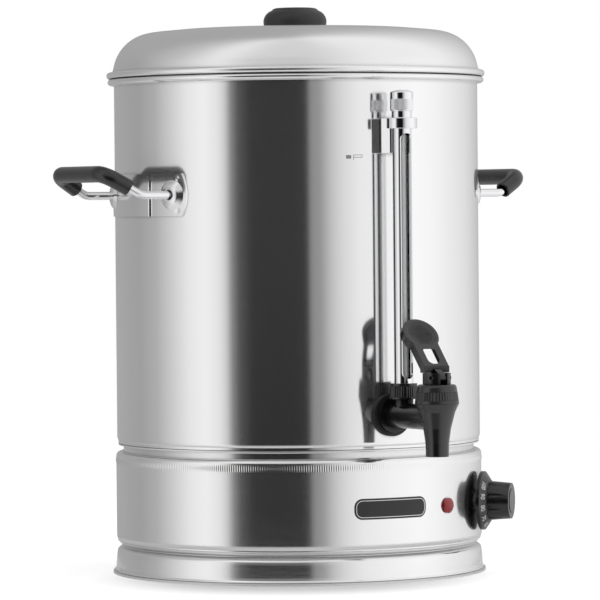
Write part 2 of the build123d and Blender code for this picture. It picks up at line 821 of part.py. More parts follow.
def bonnet():
    """Bonnet with fine grip ribs and the slotted turret that carries the lever's pin."""
    shaft_hole = stem_radius + running_gap
    lap = collar_radius + seam_gap
    room_top = chamber_top + collar_height + seam_gap
    outer = FilletPolyline(
        (lap, bonnet_bottom),
        (bonnet_radius, bonnet_bottom),
        (bonnet_radius - bonnet_taper, bonnet_top),
        (turret_radius, bonnet_top),
        (turret_radius, turret_top),
        (shaft_hole, turret_top),
        radius=[0, bonnet_round, 0, 0],
    )
    shell = lathe(
        outer,
        [
            (shaft_hole, bonnet_roof_z),
            (bonnet_spring_room, bonnet_roof_z),
            (bonnet_spring_room, room_top),
            (lap, room_top),
        ],
    )
    slope = bonnet_taper / (bonnet_top - bonnet_bottom)
    rib_top = rib_foot + rib_length
    shell -= rib_cutter(
        bonnet_ribs,
        bonnet_bottom + rib_foot,
        bonnet_bottom + rib_top,
        bonnet_radius - slope * rib_foot,
        bonnet_radius - slope * rib_top,
    )
    shell = Pos(0, -spout_reach, 0) * shell
    slot = Box(turret_slot, 3 * turret_radius, turret_height)
    shell -= Pos(0, -spout_reach, bonnet_top + turret_height / 2) * slot
    return shell - crossbar(hinge_pin_radius + seam_gap / 2, 3 * turret_radius, hinge_reach, hinge_z)


def lever_head(front):
    """The lever's leaning arm, hollow behind, with its window and thumb paddle, behind its front plane."""
    outline = Pos(0, lever_arm / 2) * Rectangle(lever_width, lever_arm)
    outline += Pos(0, lever_arm) * Circle(paddle_radius)
    head = extrude(front * outline, -lever_sheet)
    head = fillet(head.faces().sort_by(Axis(front.origin, front.z_dir))[-1].edges(), lever_edge)
    window = Pos(0, window_start + window_length / 2) * Rectangle(window_width, window_length)
    window = fillet(window.vertices().group_by(Axis.Y)[0], window_round)
    window = fillet(window.vertices().group_by(Axis.Y)[-1], window_corner)
    head -= extrude(front * window, lever_sheet, both=True)
    head -= extrude(front * window, 2 * lever_sheet, dir=(0, 1, 0))
    pocket_length = window_start + window_length + lever_sheet - lever_side
    pocket = Pos(0, lever_side + pocket_length / 2, -lever_sheet)
    pocket *= Rectangle(lever_width - 2 * lever_side, pocket_length)
    head -= extrude(front * pocket, lever_sheet - lever_web)
    ball = ball_radius(thumb_radius, thumb_depth)
    return head - front * Pos(0, lever_arm, ball - thumb_depth) * Sphere(ball)


def lever():
    """Lever: a forked root in the turret's slot, a foot over the turret, and the arm with its paddle."""
    nose_reach, nose_z = nose_place()
    lean = radians(lever_lean)
    knee_reach = spout_reach + lever_knee_offset
    knee_z = turret_top + lever_knee_rise
    foot_z = turret_top + lever_foot_gap
    foot_reach = knee_reach - lever_foot / 2
    circles = [
        Pos(-hinge_reach, hinge_z) * Circle(hinge_boss),
        Pos(-nose_reach, nose_z) * Circle(nose_boss),
        Pos(-foot_reach, knee_z - nose_boss) * Circle(nose_boss),
    ]
    side = make_hull([edge for circle in circles for edge in circle.edges()])
    root = extrude(Plane.YZ * side, lever_root / 2, both=True)
    fork = Box(tang_width + 2 * tang_gap, fork_depth, fork_height)
    root -= Pos(0, fork_depth / 2 - hinge_reach, hinge_z + fork_rise - fork_height / 2) * fork
    root += crossbar(hinge_boss, lever_root, hinge_reach, hinge_z)
    foot = Pos(0, -foot_reach, (foot_z + knee_z) / 2) * Box(lever_width, lever_foot, knee_z - foot_z)
    front = Plane((0, -knee_reach, knee_z), x_dir=(1, 0, 0), z_dir=(0, -cos(lean), sin(lean)))
    body = root + foot + lever_head(front)
    body -= crossbar(hinge_pin_radius + running_gap, 2 * lever_root, hinge_reach, hinge_z)
    return body - crossbar(nose_pin_radius, 2 * lever_root, nose_reach, nose_z)


def tap_inside():
    """Stem with its slotted tang and spring flange, silicone seat cup, spring and the two pins."""
    at = spout_reach
    nose_reach, nose_z = nose_place()
    cup_bottom = seat_z + seam_gap
    cup_top = cup_bottom + cup_height
    shoulder = bonnet_roof_z + stem_shoulder
    stem = upright(stem_radius, cup_top - cup_socket, shoulder, at)
    stem += upright(stem_flange_radius, cup_top, cup_top + stem_flange, at)
    tang_top = nose_z + 2 * nose_pin_radius + seam_gap
    stem += Pos(0, -at, (shoulder + tang_top) / 2) * Box(tang_width, tang_depth, tang_top - shoulder)
    play = nose_arm * (1 - cos(radians(lever_pull / 2)))
    slot = SlotOverall(2 * nose_pin_radius + play + 2 * seam_gap, 2 * (nose_pin_radius + seam_gap))
    stem -= Pos(0, -at, nose_z) * extrude(Plane.YZ * slot, 2 * tang_width, both=True)
    cup = upright(cup_radius, cup_bottom, cup_top, at)
    cup -= upright(stem_radius + seam_gap / 2, cup_top - cup_socket - seam_gap, cup_top + 1, at)
    spring = upright(spring_outer, cup_top + stem_flange + seam_gap, bonnet_roof_z - seam_gap, at)
    spring -= upright(spring_inner, cup_top, bonnet_roof_z + 1, at)
    pin_length = 2 * sqrt(turret_radius**2 - hinge_offset**2) - 1
    return {
        "tap_stem": stem,
        "seat_cup": cup,
        "tap_spring": spring,
        "lever_pin": crossbar(hinge_pin_radius, pin_length, hinge_reach, hinge_z),
        "stem_pin": crossbar(nose_pin_radius - seam_gap / 2, lever_root - 2 * seam_gap, nose_reach, nose_z),
    }


def tap():
    """The whole tap."""
    shown = {"tap_body": tap_body(), "tap_bonnet": bonnet(), "tap_lever": lever()}
    return {**shown, **tap_fixings(), **tap_inside()}


def dial():
    """The fluted dial with its skirt and end cap, pointing along -Y."""
    grip_back = dial_back_reach + dial_skirt_rim + dial_cone
    knob = Rot(90, 0, 0) * turned(
        (0, dial_back_reach),
        (dial_skirt_radius, dial_back_reach),
        (dial_skirt_radius, dial_back_reach + dial_skirt_rim),
        (dial_cone_radius, grip_back),
        (dial_grip_radius, grip_back),
        (dial_grip_end_radius, dial_end_reach),
        (0, dial_end_reach),
    )
    flute_reach = dial_grip_radius + dial_flute_radius - dial_flute_depth
    flute = Pos(flute_reach, 0, (grip_back + dial_end_reach) / 2 + 1) * Cylinder(
        dial_flute_radius, dial_end_reach - grip_back
    )
    knob -= Rot(90, 0, 0) * ring_of(flute, dial_flutes)
    knob -= spoke(dial_cap_radius, dial_end_reach - dial_cap_height, dial_end_reach + 1, 0)
    nut_far = base_radius + seam_gap + thermostat_nut_height
    knob -= spoke(thermostat_nut_across / 2 + 3, dial_back_reach - 1, nut_far + 2, 0)
    knob -= spoke(shaft_radius + seam_gap / 2, dial_back_reach - 1, dial_back_reach + shaft_tip + seam_gap, 0)
    cap_near = dial_end_reach - dial_cap_height + seam_gap
    cap = spoke(dial_cap_radius - seam_gap, cap_near, dial_end_reach + dial_cap_stand, 0)
    return {"dial_knob": knob, "dial_cap": cap}


def thermostat():
    """The dial and its shaft, the thermostat behind the shell and the nut that holds it."""
    nut_far = base_radius + seam_gap + thermostat_nut_height
    shaft_end = thermostat_front_reach - shaft_tail
    body = Pos(0, -thermostat_front_reach + thermostat_depth / 2, 0) * Box(
        thermostat_width, thermostat_depth, thermostat_width
    )
    body += spoke(thermostat_bush, thermostat_front_reach, nut_far, 0)
    body -= spoke(shaft_radius + running_gap, shaft_end - seam_gap, nut_far + 1, 0)
    nut = hexagon(thermostat_nut_across, base_radius + seam_gap, nut_far, 0)
    nut -= spoke(thermostat_bush + seam_gap / 2, base_radius - 1, nut_far + 1, 0)
    shapes = {
        **dial(),
        "thermostat_shaft": spoke(shaft_radius, shaft_end, dial_back_reach + shaft_tip, 0),
        "thermostat_body": body,
        "thermostat_nut": nut,
    }
    return {name: Pos(0, 0, controls_z) * turn(dial_angle, shape) for name, shape in shapes.items()}


def pilot_lamp():
    """Lamp housing with its bezel, the red lens and the clip behind the shell."""
    face = base_radius + seam_gap
    bezel_far = face + pilot_bezel_height
    seat = pilot_lens_radius - 1
    housing = spoke(pilot_bezel_radius, face, bezel_far, 0) + spoke(pilot_barrel, face - pilot_depth, face, 0)
    housing -= spoke(seat, face - 2, bezel_far + 1, 0)
    lens = spoke(seat - seam_gap, face - 2 + seam_gap, bezel_far + seam_gap, 0)
    ball = ball_radius(pilot_lens_radius, pilot_lens_height)
    dome = Pos(0, -(bezel_far + seam_gap + pilot_lens_height - ball), 0) * Sphere(ball)
    lens += dome & spoke(pilot_lens_radius, bezel_far + seam_gap, bezel_far + 2 * pilot_lens_height, 0)
    sag = base_radius - sheet - sqrt((base_radius - sheet) ** 2 - pilot_clip_radius**2)
    clip_far = base_radius - sheet - sag - seam_gap
    clip = spoke(pilot_clip_radius, clip_far - pilot_clip_height, clip_far, 0)
    clip -= spoke(pilot_barrel + seam_gap / 2, clip_far - pilot_clip_height - 1, clip_far + 1, 0)
    shapes = {"pilot_housing": housing, "pilot_lens": lens, "pilot_clip": clip}
    return {name: Pos(0, 0, controls_z) * turn(pilot_angle, shape) for name, shape in shapes.items()}


def heater():
    """Concealed element under the tank floor, held by a clamp on a stud with a nut."""
    element_bottom = drum_floor - element_height
    clamp_bottom = element_bottom - clamp_height
    nut_bottom = clamp_bottom - stud_nut_height
    element = upright(element_radius, element_bottom, drum_floor)
    element -= upright(stud_radius + free_gap, element_bottom - 1, drum_floor + 1)
    clamp = Pos(0, 0, clamp_bottom + clamp_height / 2) * Box(clamp_length, clamp_width, clamp_height)
    clamp -= upright(stud_radius + seam_gap, clamp_bottom - 1, element_bottom + 1)
    nut = extrude(RegularPolygon(stud_nut_across / 2, 6, major_radius=False), stud_nut_height)
    nut = Pos(0, 0, nut_bottom) * nut
    nut -= upright(stud_radius + seam_gap / 2, nut_bottom - 1, clamp_bottom + 1)
    return {
        "element_plate": element,
        "element_clamp": clamp,
        "element_stud": upright(stud_radius, nut_bottom - stud_tail, drum_floor),
        "element_nut": nut,
    }


def sensor():
    """The thermostat's bulb under the tank floor, its capillary to the thermostat, and the bulb's clip."""
    bulb_z = drum_floor - bulb_radius - bulb_clip_sheet - seam_gap
    bulb_y = -(element_radius + bulb_gap + bulb_radius)
    middle = thermostat_front_reach - thermostat_depth / 2
    over_x = middle * sin(radians(dial_angle))
    over_y = -middle * cos(radians(dial_angle)) - bulb_y
    heading = degrees(atan2(over_y, over_x))
    run = sqrt(over_x**2 + over_y**2)
    start = bulb_length / 2 - 1
    bulb = Rot(0, 90, 0) * Cylinder(bulb_radius, bulb_length)
    tail = FilletPolyline(
        (start, 0, 0),
        (run, 0, 0),
        (run, 0, controls_z + thermostat_width / 2 - bulb_z),
        radius=capillary_bend,
    )
    bulb += sweep(Plane((start, 0, 0), z_dir=(1, 0, 0)) * Circle(capillary_radius), tail)
    hold = bulb_radius + seam_gap
    outer = hold + bulb_clip_sheet
    clip = Box(bulb_length / 2, 2 * outer, 2 * outer) - Box(bulb_length, 2 * hold, 2 * hold)
    place = Pos(0, bulb_y, bulb_z) * Rot(0, 0, heading)
    return {"thermostat_bulb": place * bulb, "bulb_clip": place * clip}


def cable_way():
    """The cable gland, built in front, and its locknut inside the shell."""
    shell_out, shell_in = base_radius + seam_gap, base_radius - sheet - 0.7
    thread_end = shell_in - gland_in
    gland = spoke(gland_flange_radius, shell_out, shell_out + gland_flange, gland_z)
    gland += spoke(gland_radius, shell_out, shell_out + gland_out, gland_z)
    gland += spoke(gland_thread, thread_end, shell_out, gland_z)
    gland -= spoke(gland_bore, thread_end - 1, shell_out + gland_out + 1, gland_z)
    nut_near = shell_in - gland_nut_height
    locknut = hexagon(gland_nut_across, nut_near, shell_in, gland_z)
    locknut -= spoke(gland_thread + seam_gap / 2, nut_near - 1, shell_in + 1, gland_z)
    return {"cable_gland": turn(180, gland), "gland_locknut": turn(180, locknut)}


def wiring():
    """Terminal block, earth stud, and the cut-out with its reset button, all on the bottom plate."""
    floor_z = bottom_plate_z + sheet + seam_gap
    back_y = base_radius - terminal_inset
    terminal = Box(terminal_length, terminal_depth, terminal_height)
    terminal = Pos(0, back_y, floor_z + terminal_height / 2) * terminal
    pitch = terminal_length / terminal_ways
    for i in range(terminal_ways):
        x = (i - (terminal_ways - 1) / 2) * pitch
        top = floor_z + terminal_height
        terminal -= upright(terminal_screw_radius, top - terminal_screw_depth, top + 1, -back_y, x)
    earth = upright(earth_radius, floor_z, floor_z + earth_length, -back_y, earth_x)
    earth += Pos(earth_x, back_y, floor_z) * extrude(
        RegularPolygon(earth_nut_across / 2, 6, major_radius=False), earth_nut_height
    )
    button_bottom = bottom_plate_z - reset_stand
    button_top = button_bottom + reset_length
    cutout = Pos(0, cutout_y, floor_z + cutout_height / 2) * Box(cutout_width, cutout_width, cutout_height)
    room = button_top + reset_travel + free_gap
    cutout -= upright(reset_radius + running_gap, floor_z - 1, room, -cutout_y)
    return {
        "terminal_block": terminal,
        "earth_stud": earth,
        "cutout_body": cutout,
        "reset_button": upright(reset_radius, button_bottom, button_top, -cutout_y),
    }


os.makedirs("parts", exist_ok=True)
nodes = {
    **drum(),
    "base_shell": base_shell(),
    **bottom(),
    "lid_shell": lid_shell(),
    **lid_knob(),
    **handles(),
    **gauge_foot(),
    **gauge_tube(),
    **gauge_head(),
    **tap(),
    **thermostat(),
    **pilot_lamp(),
    **heater(),
    **sensor(),
    **cable_way(),
    **wiring(),
}
for name, shape in nodes.items():
    export_step(shape, f"parts/{name}.step")
print(len(nodes), "nodes")
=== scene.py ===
"""Looks of a hot water urn: stainless drum and base, domed lid, side handles, sight gauge, lever tap, dial.

Lengths in the classes are millimetres, as on a workshop drawing. Meshes are in metres, in the frame of the
solids: +Z up, the origin on the drum's axis at the counter, the tap towards -Y and the handles on +X and -X.
"""

import logging
import math
from dataclasses import dataclass
from enum import Enum

import bmesh
import bpy
import numpy as np
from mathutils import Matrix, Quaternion, Vector


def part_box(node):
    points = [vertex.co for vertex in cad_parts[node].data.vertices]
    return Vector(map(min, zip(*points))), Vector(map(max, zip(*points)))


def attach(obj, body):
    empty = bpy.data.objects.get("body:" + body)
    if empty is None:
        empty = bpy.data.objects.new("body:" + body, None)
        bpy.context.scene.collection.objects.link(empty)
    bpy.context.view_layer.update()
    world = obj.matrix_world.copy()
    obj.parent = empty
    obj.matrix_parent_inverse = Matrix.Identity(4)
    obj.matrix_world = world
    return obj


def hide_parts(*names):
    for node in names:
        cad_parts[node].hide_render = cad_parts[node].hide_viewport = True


MM = 0.001
LOG = logging.getLogger("urn")
Array = np.ndarray


class Body(Enum):
    """The rigid bodies that the pieces ride on."""

    URN = "urn"
    LID = "lid"
    LEVER = "tap_lever"
    DIAL = "dial"
    CAP = "gauge_cap"


class Side(Enum):
    """A handle's side of the urn, as the sign of its X."""

    RIGHT = 1
    LEFT = -1


# ---- node and colour helpers ----


def to_linear(code: str) -> tuple[float, float, float, float]:
    """Turns an sRGB hex colour into linear light.

    Args:
        code: a colour such as "#d8d8d6".

    Returns:
        Red, green, blue and an alpha of one.
    """
    srgb = np.array([int(code[i : i + 2], 16) for i in (1, 3, 5)]) / 255
    linear = np.where(srgb <= 0.04045, srgb / 12.92, ((srgb + 0.055) / 1.055) ** 2.4)
    return (*linear.tolist(), 1.0)


def add_node(tree: bpy.types.NodeTree, kind: str, settings: dict | None = None, **inputs) -> bpy.types.Node:
    """Adds one node with its settings and its inputs.

    Args:
        tree: the node tree that gets it.
        kind: the node's type name, without the ShaderNode that all of them start with.
        settings: properties of the node.
        **inputs: values, output sockets or nodes whose first output is meant, by socket name with underscores
            for spaces, or by number as s0, s1.

    Returns:
        The new node.
    """
    node = tree.nodes.new("ShaderNode" + kind)
    for key, value in (settings or {}).items():
        setattr(node, key, value)
    for key, value in inputs.items():
        numbered = key[0] == "s" and key[1:].isdigit()
        socket = node.inputs[int(key[1:])] if numbered else node.inputs[key.replace("_", " ")]
        value = value.outputs[0] if isinstance(value, bpy.types.Node) else value
        if isinstance(value, bpy.types.NodeSocket):
            tree.links.new(value, socket)
        else:
            socket.default_value = value
    return node


def new_tree(name: str) -> tuple[bpy.types.Material, bpy.types.NodeTree]:
    """Makes an empty node material.

    Args:
        name: the material's name.

    Returns:
        The material and its node tree.
    """
    material = bpy.data.materials.new(name)
    material.use_nodes = True
    material.node_tree.nodes.clear()
    return material, material.node_tree


# ---- finishes ----


# the part of its range from 0 to 1 that a noise texture mostly stays in
NOISE_RANGE = {"From_Min": 0.3, "From_Max": 0.7}
# settings that several nodes share
SMOOTH, COLOURS = {"interpolation_type": "SMOOTHSTEP"}, {"data_type": "RGBA"}


@dataclass(frozen=True)
class Finish:
    """What a surface is made of and how it was made."""

    name: str
    colour: str

    def material(self) -> bpy.types.Material:
        """Finds the finish's material, or builds it at its first use.

        Returns:
            The material.
        """
        if self.name not in bpy.data.materials:
            tree = new_tree(self.name)[1]
            add_node(tree, "OutputMaterial", Surface=self.shader(tree))
        return bpy.data.materials[self.name]

    def shader(self, tree: bpy.types.NodeTree) -> bpy.types.Node:
        """Adds the finish's nodes and returns its shader; each kind of surface has its own."""
        raise NotImplementedError


@dataclass(frozen=True)
class Metal(Finish):
    """A bare or plated metal surface, whose gloss is broken by the fine lines that made it."""

    roughness: float
    roughness_spread: float = 0.02
    line_spacing: float = 1.5  # mm between the fine lines, drawn coarse enough to show
    line_length: float = 60.0  # mm along them
    line_depth: float = 0.002  # mm
    wave_spacing: float = 60.0  # mm between the slight waves of pressed sheet
    wave_depth: float = 0.0  # mm
    anisotropy: float = 0.0
    streak_turn: float = 0.25  # a quarter turn lays the streaks of light across the lines
    haze: float = 0.0  # weight of the broad, faint second gloss that hairline scratches give
    haze_roughness: float = 0.45
    haze_index: float = 1.9
    grime: float = 0.0  # painted shade: how much darker the base colour is painted deep in a crease
    grime_reach: float = 5.0  # mm from one side of such a crease to the other
    grime_colour: str = "#202020"
    dirty: float = 0.4  # share of open sky up to which a crease is at its darkest
    clean: float = 0.85  # and from which no shade is painted

    def shader(self, tree: bpy.types.NodeTree) -> bpy.types.Node:
        """Lets the lines run level round the Z axis, with the waves under them.

        Args:
            tree: the material's node tree.

        Returns:
            The shader.
        """
        place = add_node(tree, "TexCoord").outputs["Object"]
        across, along = 1 / (self.line_spacing * MM), 1 / (self.line_length * MM)
        stretched = add_node(tree, "Mapping", Vector=place, Scale=(along, along, across))
        lines = add_node(tree, "TexNoise", Vector=stretched, Scale=1.0, Detail=3.0)
        low, high = self.roughness - self.roughness_spread, self.roughness + self.roughness_spread
        rough = add_node(tree, "MapRange", Value=lines, **NOISE_RANGE, To_Min=low, To_Max=high)
        bump = add_node(tree, "Bump", Distance=self.line_depth * MM, Height=lines)
        if self.wave_depth:
            scale = 1 / (self.wave_spacing * MM)
            waves = add_node(tree, "TexNoise", Vector=place, Scale=scale, Detail=1.0)
            bump = add_node(tree, "Bump", Distance=self.wave_depth * MM, Height=waves, Normal=bump)
        shader = add_node(
            tree, "BsdfPrincipled", Base_Color=to_linear(self.colour), Metallic=1.0, Roughness=rough,
            Normal=bump,
        )
        # painted shade: ambient occlusion darkens the base colour towards the shade colour in creases
        if self.grime:
            crease = add_node(tree, "AmbientOcclusion", {"samples": 8}, Distance=self.grime_reach * MM)
            crease_shade_share = add_node(
                tree, "MapRange", Value=crease.outputs["AO"], From_Min=self.dirty, From_Max=self.clean,
                To_Min=self.grime, To_Max=0.0,
            )
            colour = add_node(
                tree, "Mix", COLOURS, s0=crease_shade_share, s6=to_linear(self.colour), s7=to_linear(self.grime_colour)
            )
            tree.links.new(colour.outputs[2], shader.inputs["Base Color"])
        if self.haze:
            shader.inputs["Coat Weight"].default_value = self.haze
            shader.inputs["Coat Roughness"].default_value = self.haze_roughness
            shader.inputs["Coat IOR"].default_value = self.haze_index
        if self.anisotropy:
            shader.inputs["Anisotropic"].default_value = self.anisotropy
            shader.inputs["Anisotropic Rotation"].default_value = self.streak_turn
            round_z = add_node(tree, "Tangent", {"direction_type": "RADIAL", "axis": "Z"})
            tree.links.new(round_z.outputs[0], shader.inputs["Tangent"])
        return shader


@dataclass(frozen=True)
class Moulding(Finish):
    """Moulded plastic or rubber: an even colour under a fine cast grain, its edges softened by the mould."""

    roughness: float
    roughness_share: float = 0.15  # how much of its roughness comes and goes in patches
    grain: float = 0.6  # mm
    grain_depth: float = 0.01  # mm
    patch: float = 25.0  # grains across such a patch
    edge: float = 0.35  # mm, the mould's edge radius
    specular: float = 0.5
    glow: float = 0.0  # share of light let through, as subsurface weight
    glow_depth: float = 2.0  # mm
    hollow: float = 0.0  # mm across a hollow or corner in which the gloss is turned down as painted shade; 0 for none
    dull: float = 0.45  # share of open sky up to which that painted shade is deepest
    dull_gloss: float = 0.1  # and the share of the gloss that is left there

    def shader(self, tree: bpy.types.NodeTree) -> bpy.types.Node:
        """Lays the grain over the softened edges, and paints shade into hollows by turning down the gloss
        there.

        Args:
            tree: the material's node tree.

        Returns:
            The shader.
        """
        place = add_node(tree, "TexCoord").outputs["Object"]
        grain = add_node(tree, "TexNoise", Vector=place, Scale=1 / (self.grain * MM), Detail=2.0)
        patch = 1 / (self.patch * self.grain * MM)
        cloud = add_node(tree, "TexNoise", Vector=place, Scale=patch, Detail=2.0)
        low, high = self.roughness * (1 - self.roughness_share), self.roughness * (1 + self.roughness_share)
        rough = add_node(tree, "MapRange", Value=cloud, **NOISE_RANGE, To_Min=low, To_Max=high)
        edge = add_node(tree, "Bevel", {"samples": 4}, Radius=self.edge * MM)
        bump = add_node(tree, "Bump", Distance=self.grain_depth * MM, Height=grain, Normal=edge)
        shader = add_node(
            tree, "BsdfPrincipled", Base_Color=to_linear(self.colour), Roughness=rough,
            Specular_IOR_Level=self.specular, Normal=bump,
        )
        # painted shade: ambient occlusion turns the gloss down in hollows and corners
        if self.hollow:
            open_sky = add_node(tree, "AmbientOcclusion", {"samples": 8}, Distance=self.hollow * MM)
            gloss = add_node(
                tree, "MapRange", Value=open_sky.outputs["AO"], From_Min=self.dull, From_Max=1.0,
                To_Min=self.dull_gloss * self.specular, To_Max=self.specular,
            )
            tree.links.new(gloss.outputs[0], shader.inputs["Specular IOR Level"])
        if self.glow:
            shader.inputs["Subsurface Weight"].default_value = self.glow
            shader.inputs["Subsurface Scale"].default_value = self.glow_depth * MM
        return shader


@dataclass(frozen=True)
class Clear(Finish):
    """Clear, smooth glass."""

    index: float

    def shader(self, tree: bpy.types.NodeTree) -> bpy.types.Node:
        """Lets all light through, bent by the glass's index."""
        colour = to_linear(self.colour)
        return add_node(
            tree, "BsdfPrincipled", Base_Color=colour, Roughness=0.0, IOR=self.index, Transmission_Weight=1.0
        )


# the three steels below paint shade into their creases, darkening their base colour there
# 18/8 stainless sheet, rolled bright and lightly brushed round the drum: soft reflections under a slight haze
BRUSHED_STEEL = Metal(
    "brushed_stainless", "#ebebeb", 0.1, line_depth=0.0015, anisotropy=0.5, haze=0.65, grime=0.5
)
# the same sheet pressed into the base, with a slight wave that bends what it reflects
PRESSED_STEEL = Metal(
    "pressed_stainless", "#ebebeb", 0.14, line_depth=0.0015, wave_depth=0.05, anisotropy=0.5, haze=0.65,
    grime=0.5,
)
# spun lid, satin from the spinning tool: broad soft highlights
SPUN_STEEL = Metal("spun_stainless", "#eeeeee", 0.25, 0.01, line_depth=0.0003, grime=0.5)
# buffed plate: a clear mirror with slight waves
BUFFED_STEEL = Metal("buffed_stainless", "#e8e8e8", 0.13, wave_spacing=18.0, wave_depth=0.03, haze=0.6)
# the drum's inside and hidden sheet: dull mill finish
MILL_STEEL = Metal("mill_stainless", "#e6e6e6", 0.4, 0.05)
# nickel-chrome plate: a hard mirror
CHROME = Metal("chrome_plate", "#ececee", 0.035, 0.01, line_depth=0.0004)
# zinc-plated turned steel: soft grey gloss
ZINC = Metal("zinc_plate", "#b9babb", 0.3, 0.05)
# aluminium as cast: dull and slightly rough
ALUMINIUM = Metal("cast_aluminium", "#c8c8ca", 0.5, 0.05, line_depth=0.01)
# drawn copper tube: warm satin
COPPER = Metal("drawn_copper", "#c9805c", 0.3, 0.04)
# brass as turned: fine rings that spread its shine
BRASS = Metal("turned_brass", "#d2b16b", 0.25, 0.04)
# hot-stamped foil of the plate's outline: bright but not a mirror
SILVER_FOIL = Metal("silver_foil", "#dcdcdc", 0.22)
# phenolic pressed in polished tools: deep black with a clear gloss, with painted shade that turns the gloss
# down in hollows
BLACK_MOULDING = Moulding(
    "gloss_black_phenolic", "#121212", 0.2, grain_depth=0.004, specular=0.75, hollow=14.0
)
# the grip's phenolic, with the same painted shade in its hollows
GRIP_MOULDING = Moulding("black_phenolic_grip", "#141415", 0.22, edge=0.2, specular=0.7, hollow=14.0)
# the same phenolic dulled by hands: a soft, greyer black
KNOB_MOULDING = Moulding("black_phenolic_knob", "#29292a", 0.46, edge=0.2)
# stoved enamel on the plate: smooth and glossy
BLACK_ENAMEL = Moulding("stoved_black_enamel", "#161617", 0.2, grain_depth=0.004, edge=0.15)
# pad-printed numbers and the etched level mark: matt
WHITE_INK = Moulding("white_ink", "#e9e9e6", 0.5, edge=0.02)
GREY_INK = Moulding("grey_ink", "#8c8c8d", 0.5, edge=0.02)
# nitrile gasket: matt black
BLACK_RUBBER = Moulding("nitrile_rubber", "#141414", 0.6, grain_depth=0.02)
# silicone seals: milky, with light in their edges
SILICONE = Moulding("silicone_rubber", "#d9d8d2", 0.45, glow=0.3)
# cream phenolic of the switch and thermostat cases: an even satin
PHENOLIC = Moulding("cream_phenolic", "#d8d2c4", 0.45)
# nylon reset button: plain satin red
RED_BUTTON = Moulding("red_nylon", "#a3201c", 0.3)
# red lamp plastic: deep colour, glossy, lit through
RED_LENS = Moulding("red_polycarbonate", "#9c1a1f", 0.1, grain_depth=0.0, edge=0.1, specular=0.8, glow=0.15)
# gauge tube: clear and smooth
SIGHT_GLASS = Clear("borosilicate", "#f6f8f8", 1.47)
# the chalky deposit of hard water in it
LIME_FILM = Moulding("lime_film", "#e4e4e2", 0.5, grain=1.2, grain_depth=0.02, edge=0.05)


# ---- surfaces ----


@dataclass
class Surface:
    """A grid of points: rows along a profile or path, and columns round it, which close on themselves."""

    points: Array
    close_rows: bool = False

    def faces(self) -> Array:
        """Joins each point with the next in its row and in its column.

        Returns:
            The corners of each quad.
        """
        rows, columns = self.points.shape[:2]
        u = np.arange(rows if self.close_rows else rows - 1)
        i, j = np.meshgrid(u, np.arange(columns), indexing="ij")
        after_i, after_j = (i + 1) % rows, (j + 1) % columns
        corners = [i * columns + j, i * columns + after_j, after_i * columns + after_j, after_i * columns + j]
        return np.stack(corners, -1).reshape(-1, 4)


def round_line(points: list, radii: list | float, closed: bool = False, step: float = 9.0) -> Array:
    """A polyline with arcs for corners: an arc's ends lie radius / tan(half the corner) away from the corner.

    Args:
        points: corners, in two or three dimensions.
        radii: the arc's radius at each corner, or one for all; open ends are left as they are.
        closed: whether the last corner joins the first.
        step: degrees between an arc's points.

    Returns:
        The points of the line, with guard points close to the ends of long straight runs, so that the shading
        of an arc doesn't reach into the flat beside it.
    """
    corners = np.asarray(points, float)
    count = len(corners)
    radii = [radii] * count if isinstance(radii, (int, float)) else list(radii)
    line = []
    for i, corner in enumerate(corners):
        if radii[i] == 0 or (not closed and i in (0, count - 1)):
            line.append(corner[None])
            continue
        back, ahead = corners[i - 1] - corner, corners[(i + 1) % count] - corner
        back, ahead = back / np.linalg.norm(back), ahead / np.linalg.norm(ahead)
        angle = np.arccos(np.clip(back @ ahead, -1, 1))
        bisector = (back + ahead) / np.linalg.norm(back + ahead)
        centre = corner + bisector * radii[i] / np.sin(angle / 2)
        reach = radii[i] / np.tan(angle / 2)
        start, end, turn = corner + back * reach - centre, corner + ahead * reach - centre, np.pi - angle
        t = np.linspace(0, 1, max(3, int(np.degrees(turn) / step) + 2))[:, None]
        line.append(centre + (np.sin((1 - t) * turn) * start + np.sin(t * turn) * end) / np.sin(turn))
    return guard(np.concatenate(line), closed)


def guard(line: Array, closed: bool, margin: float = 0.4, longest: float = 3.0) -> Array:
    """Adds a point a margin inside each end of every straight run that is longer than a given length.

    Args:
        line: points of a line.
        closed: whether the last point joins the first.
        margin: how far from the run's end the new point lies.
        longest: runs up to this length get none.

    Returns:
        The line with the new points.
    """
    after = np.roll(line, -1, axis=0)
    length = np.linalg.norm(after - line, axis=1)
    if not closed:
        length[-1] = 0
    share = (margin / np.maximum(length, longest))[:, None]
    near, far = line + (after - line) * share, after - (after - line) * share
    parts = np.stack([line, near, far], axis=1)
    keep = np.stack([np.ones(len(line), bool), length > longest, length > longest], axis=1)
    return parts[keep]


def offset_line(line: Array, distance: float, closed: bool = False) -> Array:
    """Moves each point of a flat line sideways, to the left of its direction.

    Args:
        line: points in two dimensions.
        distance: how far; a negative distance moves them to the right.
        closed: whether the last point joins the first.

    Returns:
        The moved points.
    """
    if closed:
        along = np.roll(line, -1, axis=0) - np.roll(line, 1, axis=0)
    else:
        along = np.gradient(line, axis=0)
    along /= np.linalg.norm(along, axis=1)[:, None]
    return line + distance * np.stack([-along[:, 1], along[:, 0]], axis=1)


def lathe(
    profile: Array, segments: int, closed: bool = True, centre: tuple = (0, 0), relief: Array | None = None
) -> Surface:
    """A profile of (radius, z) turned about an upright axis: x = r cos a, y = r sin a.

    Args:
        profile: points of radius and height.
        segments: columns round the axis.
        closed: whether the profile's last point joins its first; an open one starts and ends on the axis.
        centre: x and y of the axis.
        relief: height added to the radius at each row and column.

    Returns:
        The surface, in millimetres.
    """
    angle = np.linspace(0, 2 * np.pi, segments, endpoint=False)
    radius = np.broadcast_to(profile[:, :1], (len(profile), segments))
    radius = radius if relief is None else radius + relief
    x, y = centre[0] + radius * np.cos(angle), centre[1] + radius * np.sin(angle)
    z = np.broadcast_to(profile[:, 1:], x.shape)
    return Surface(np.stack([x, y, z], -1), close_rows=closed)


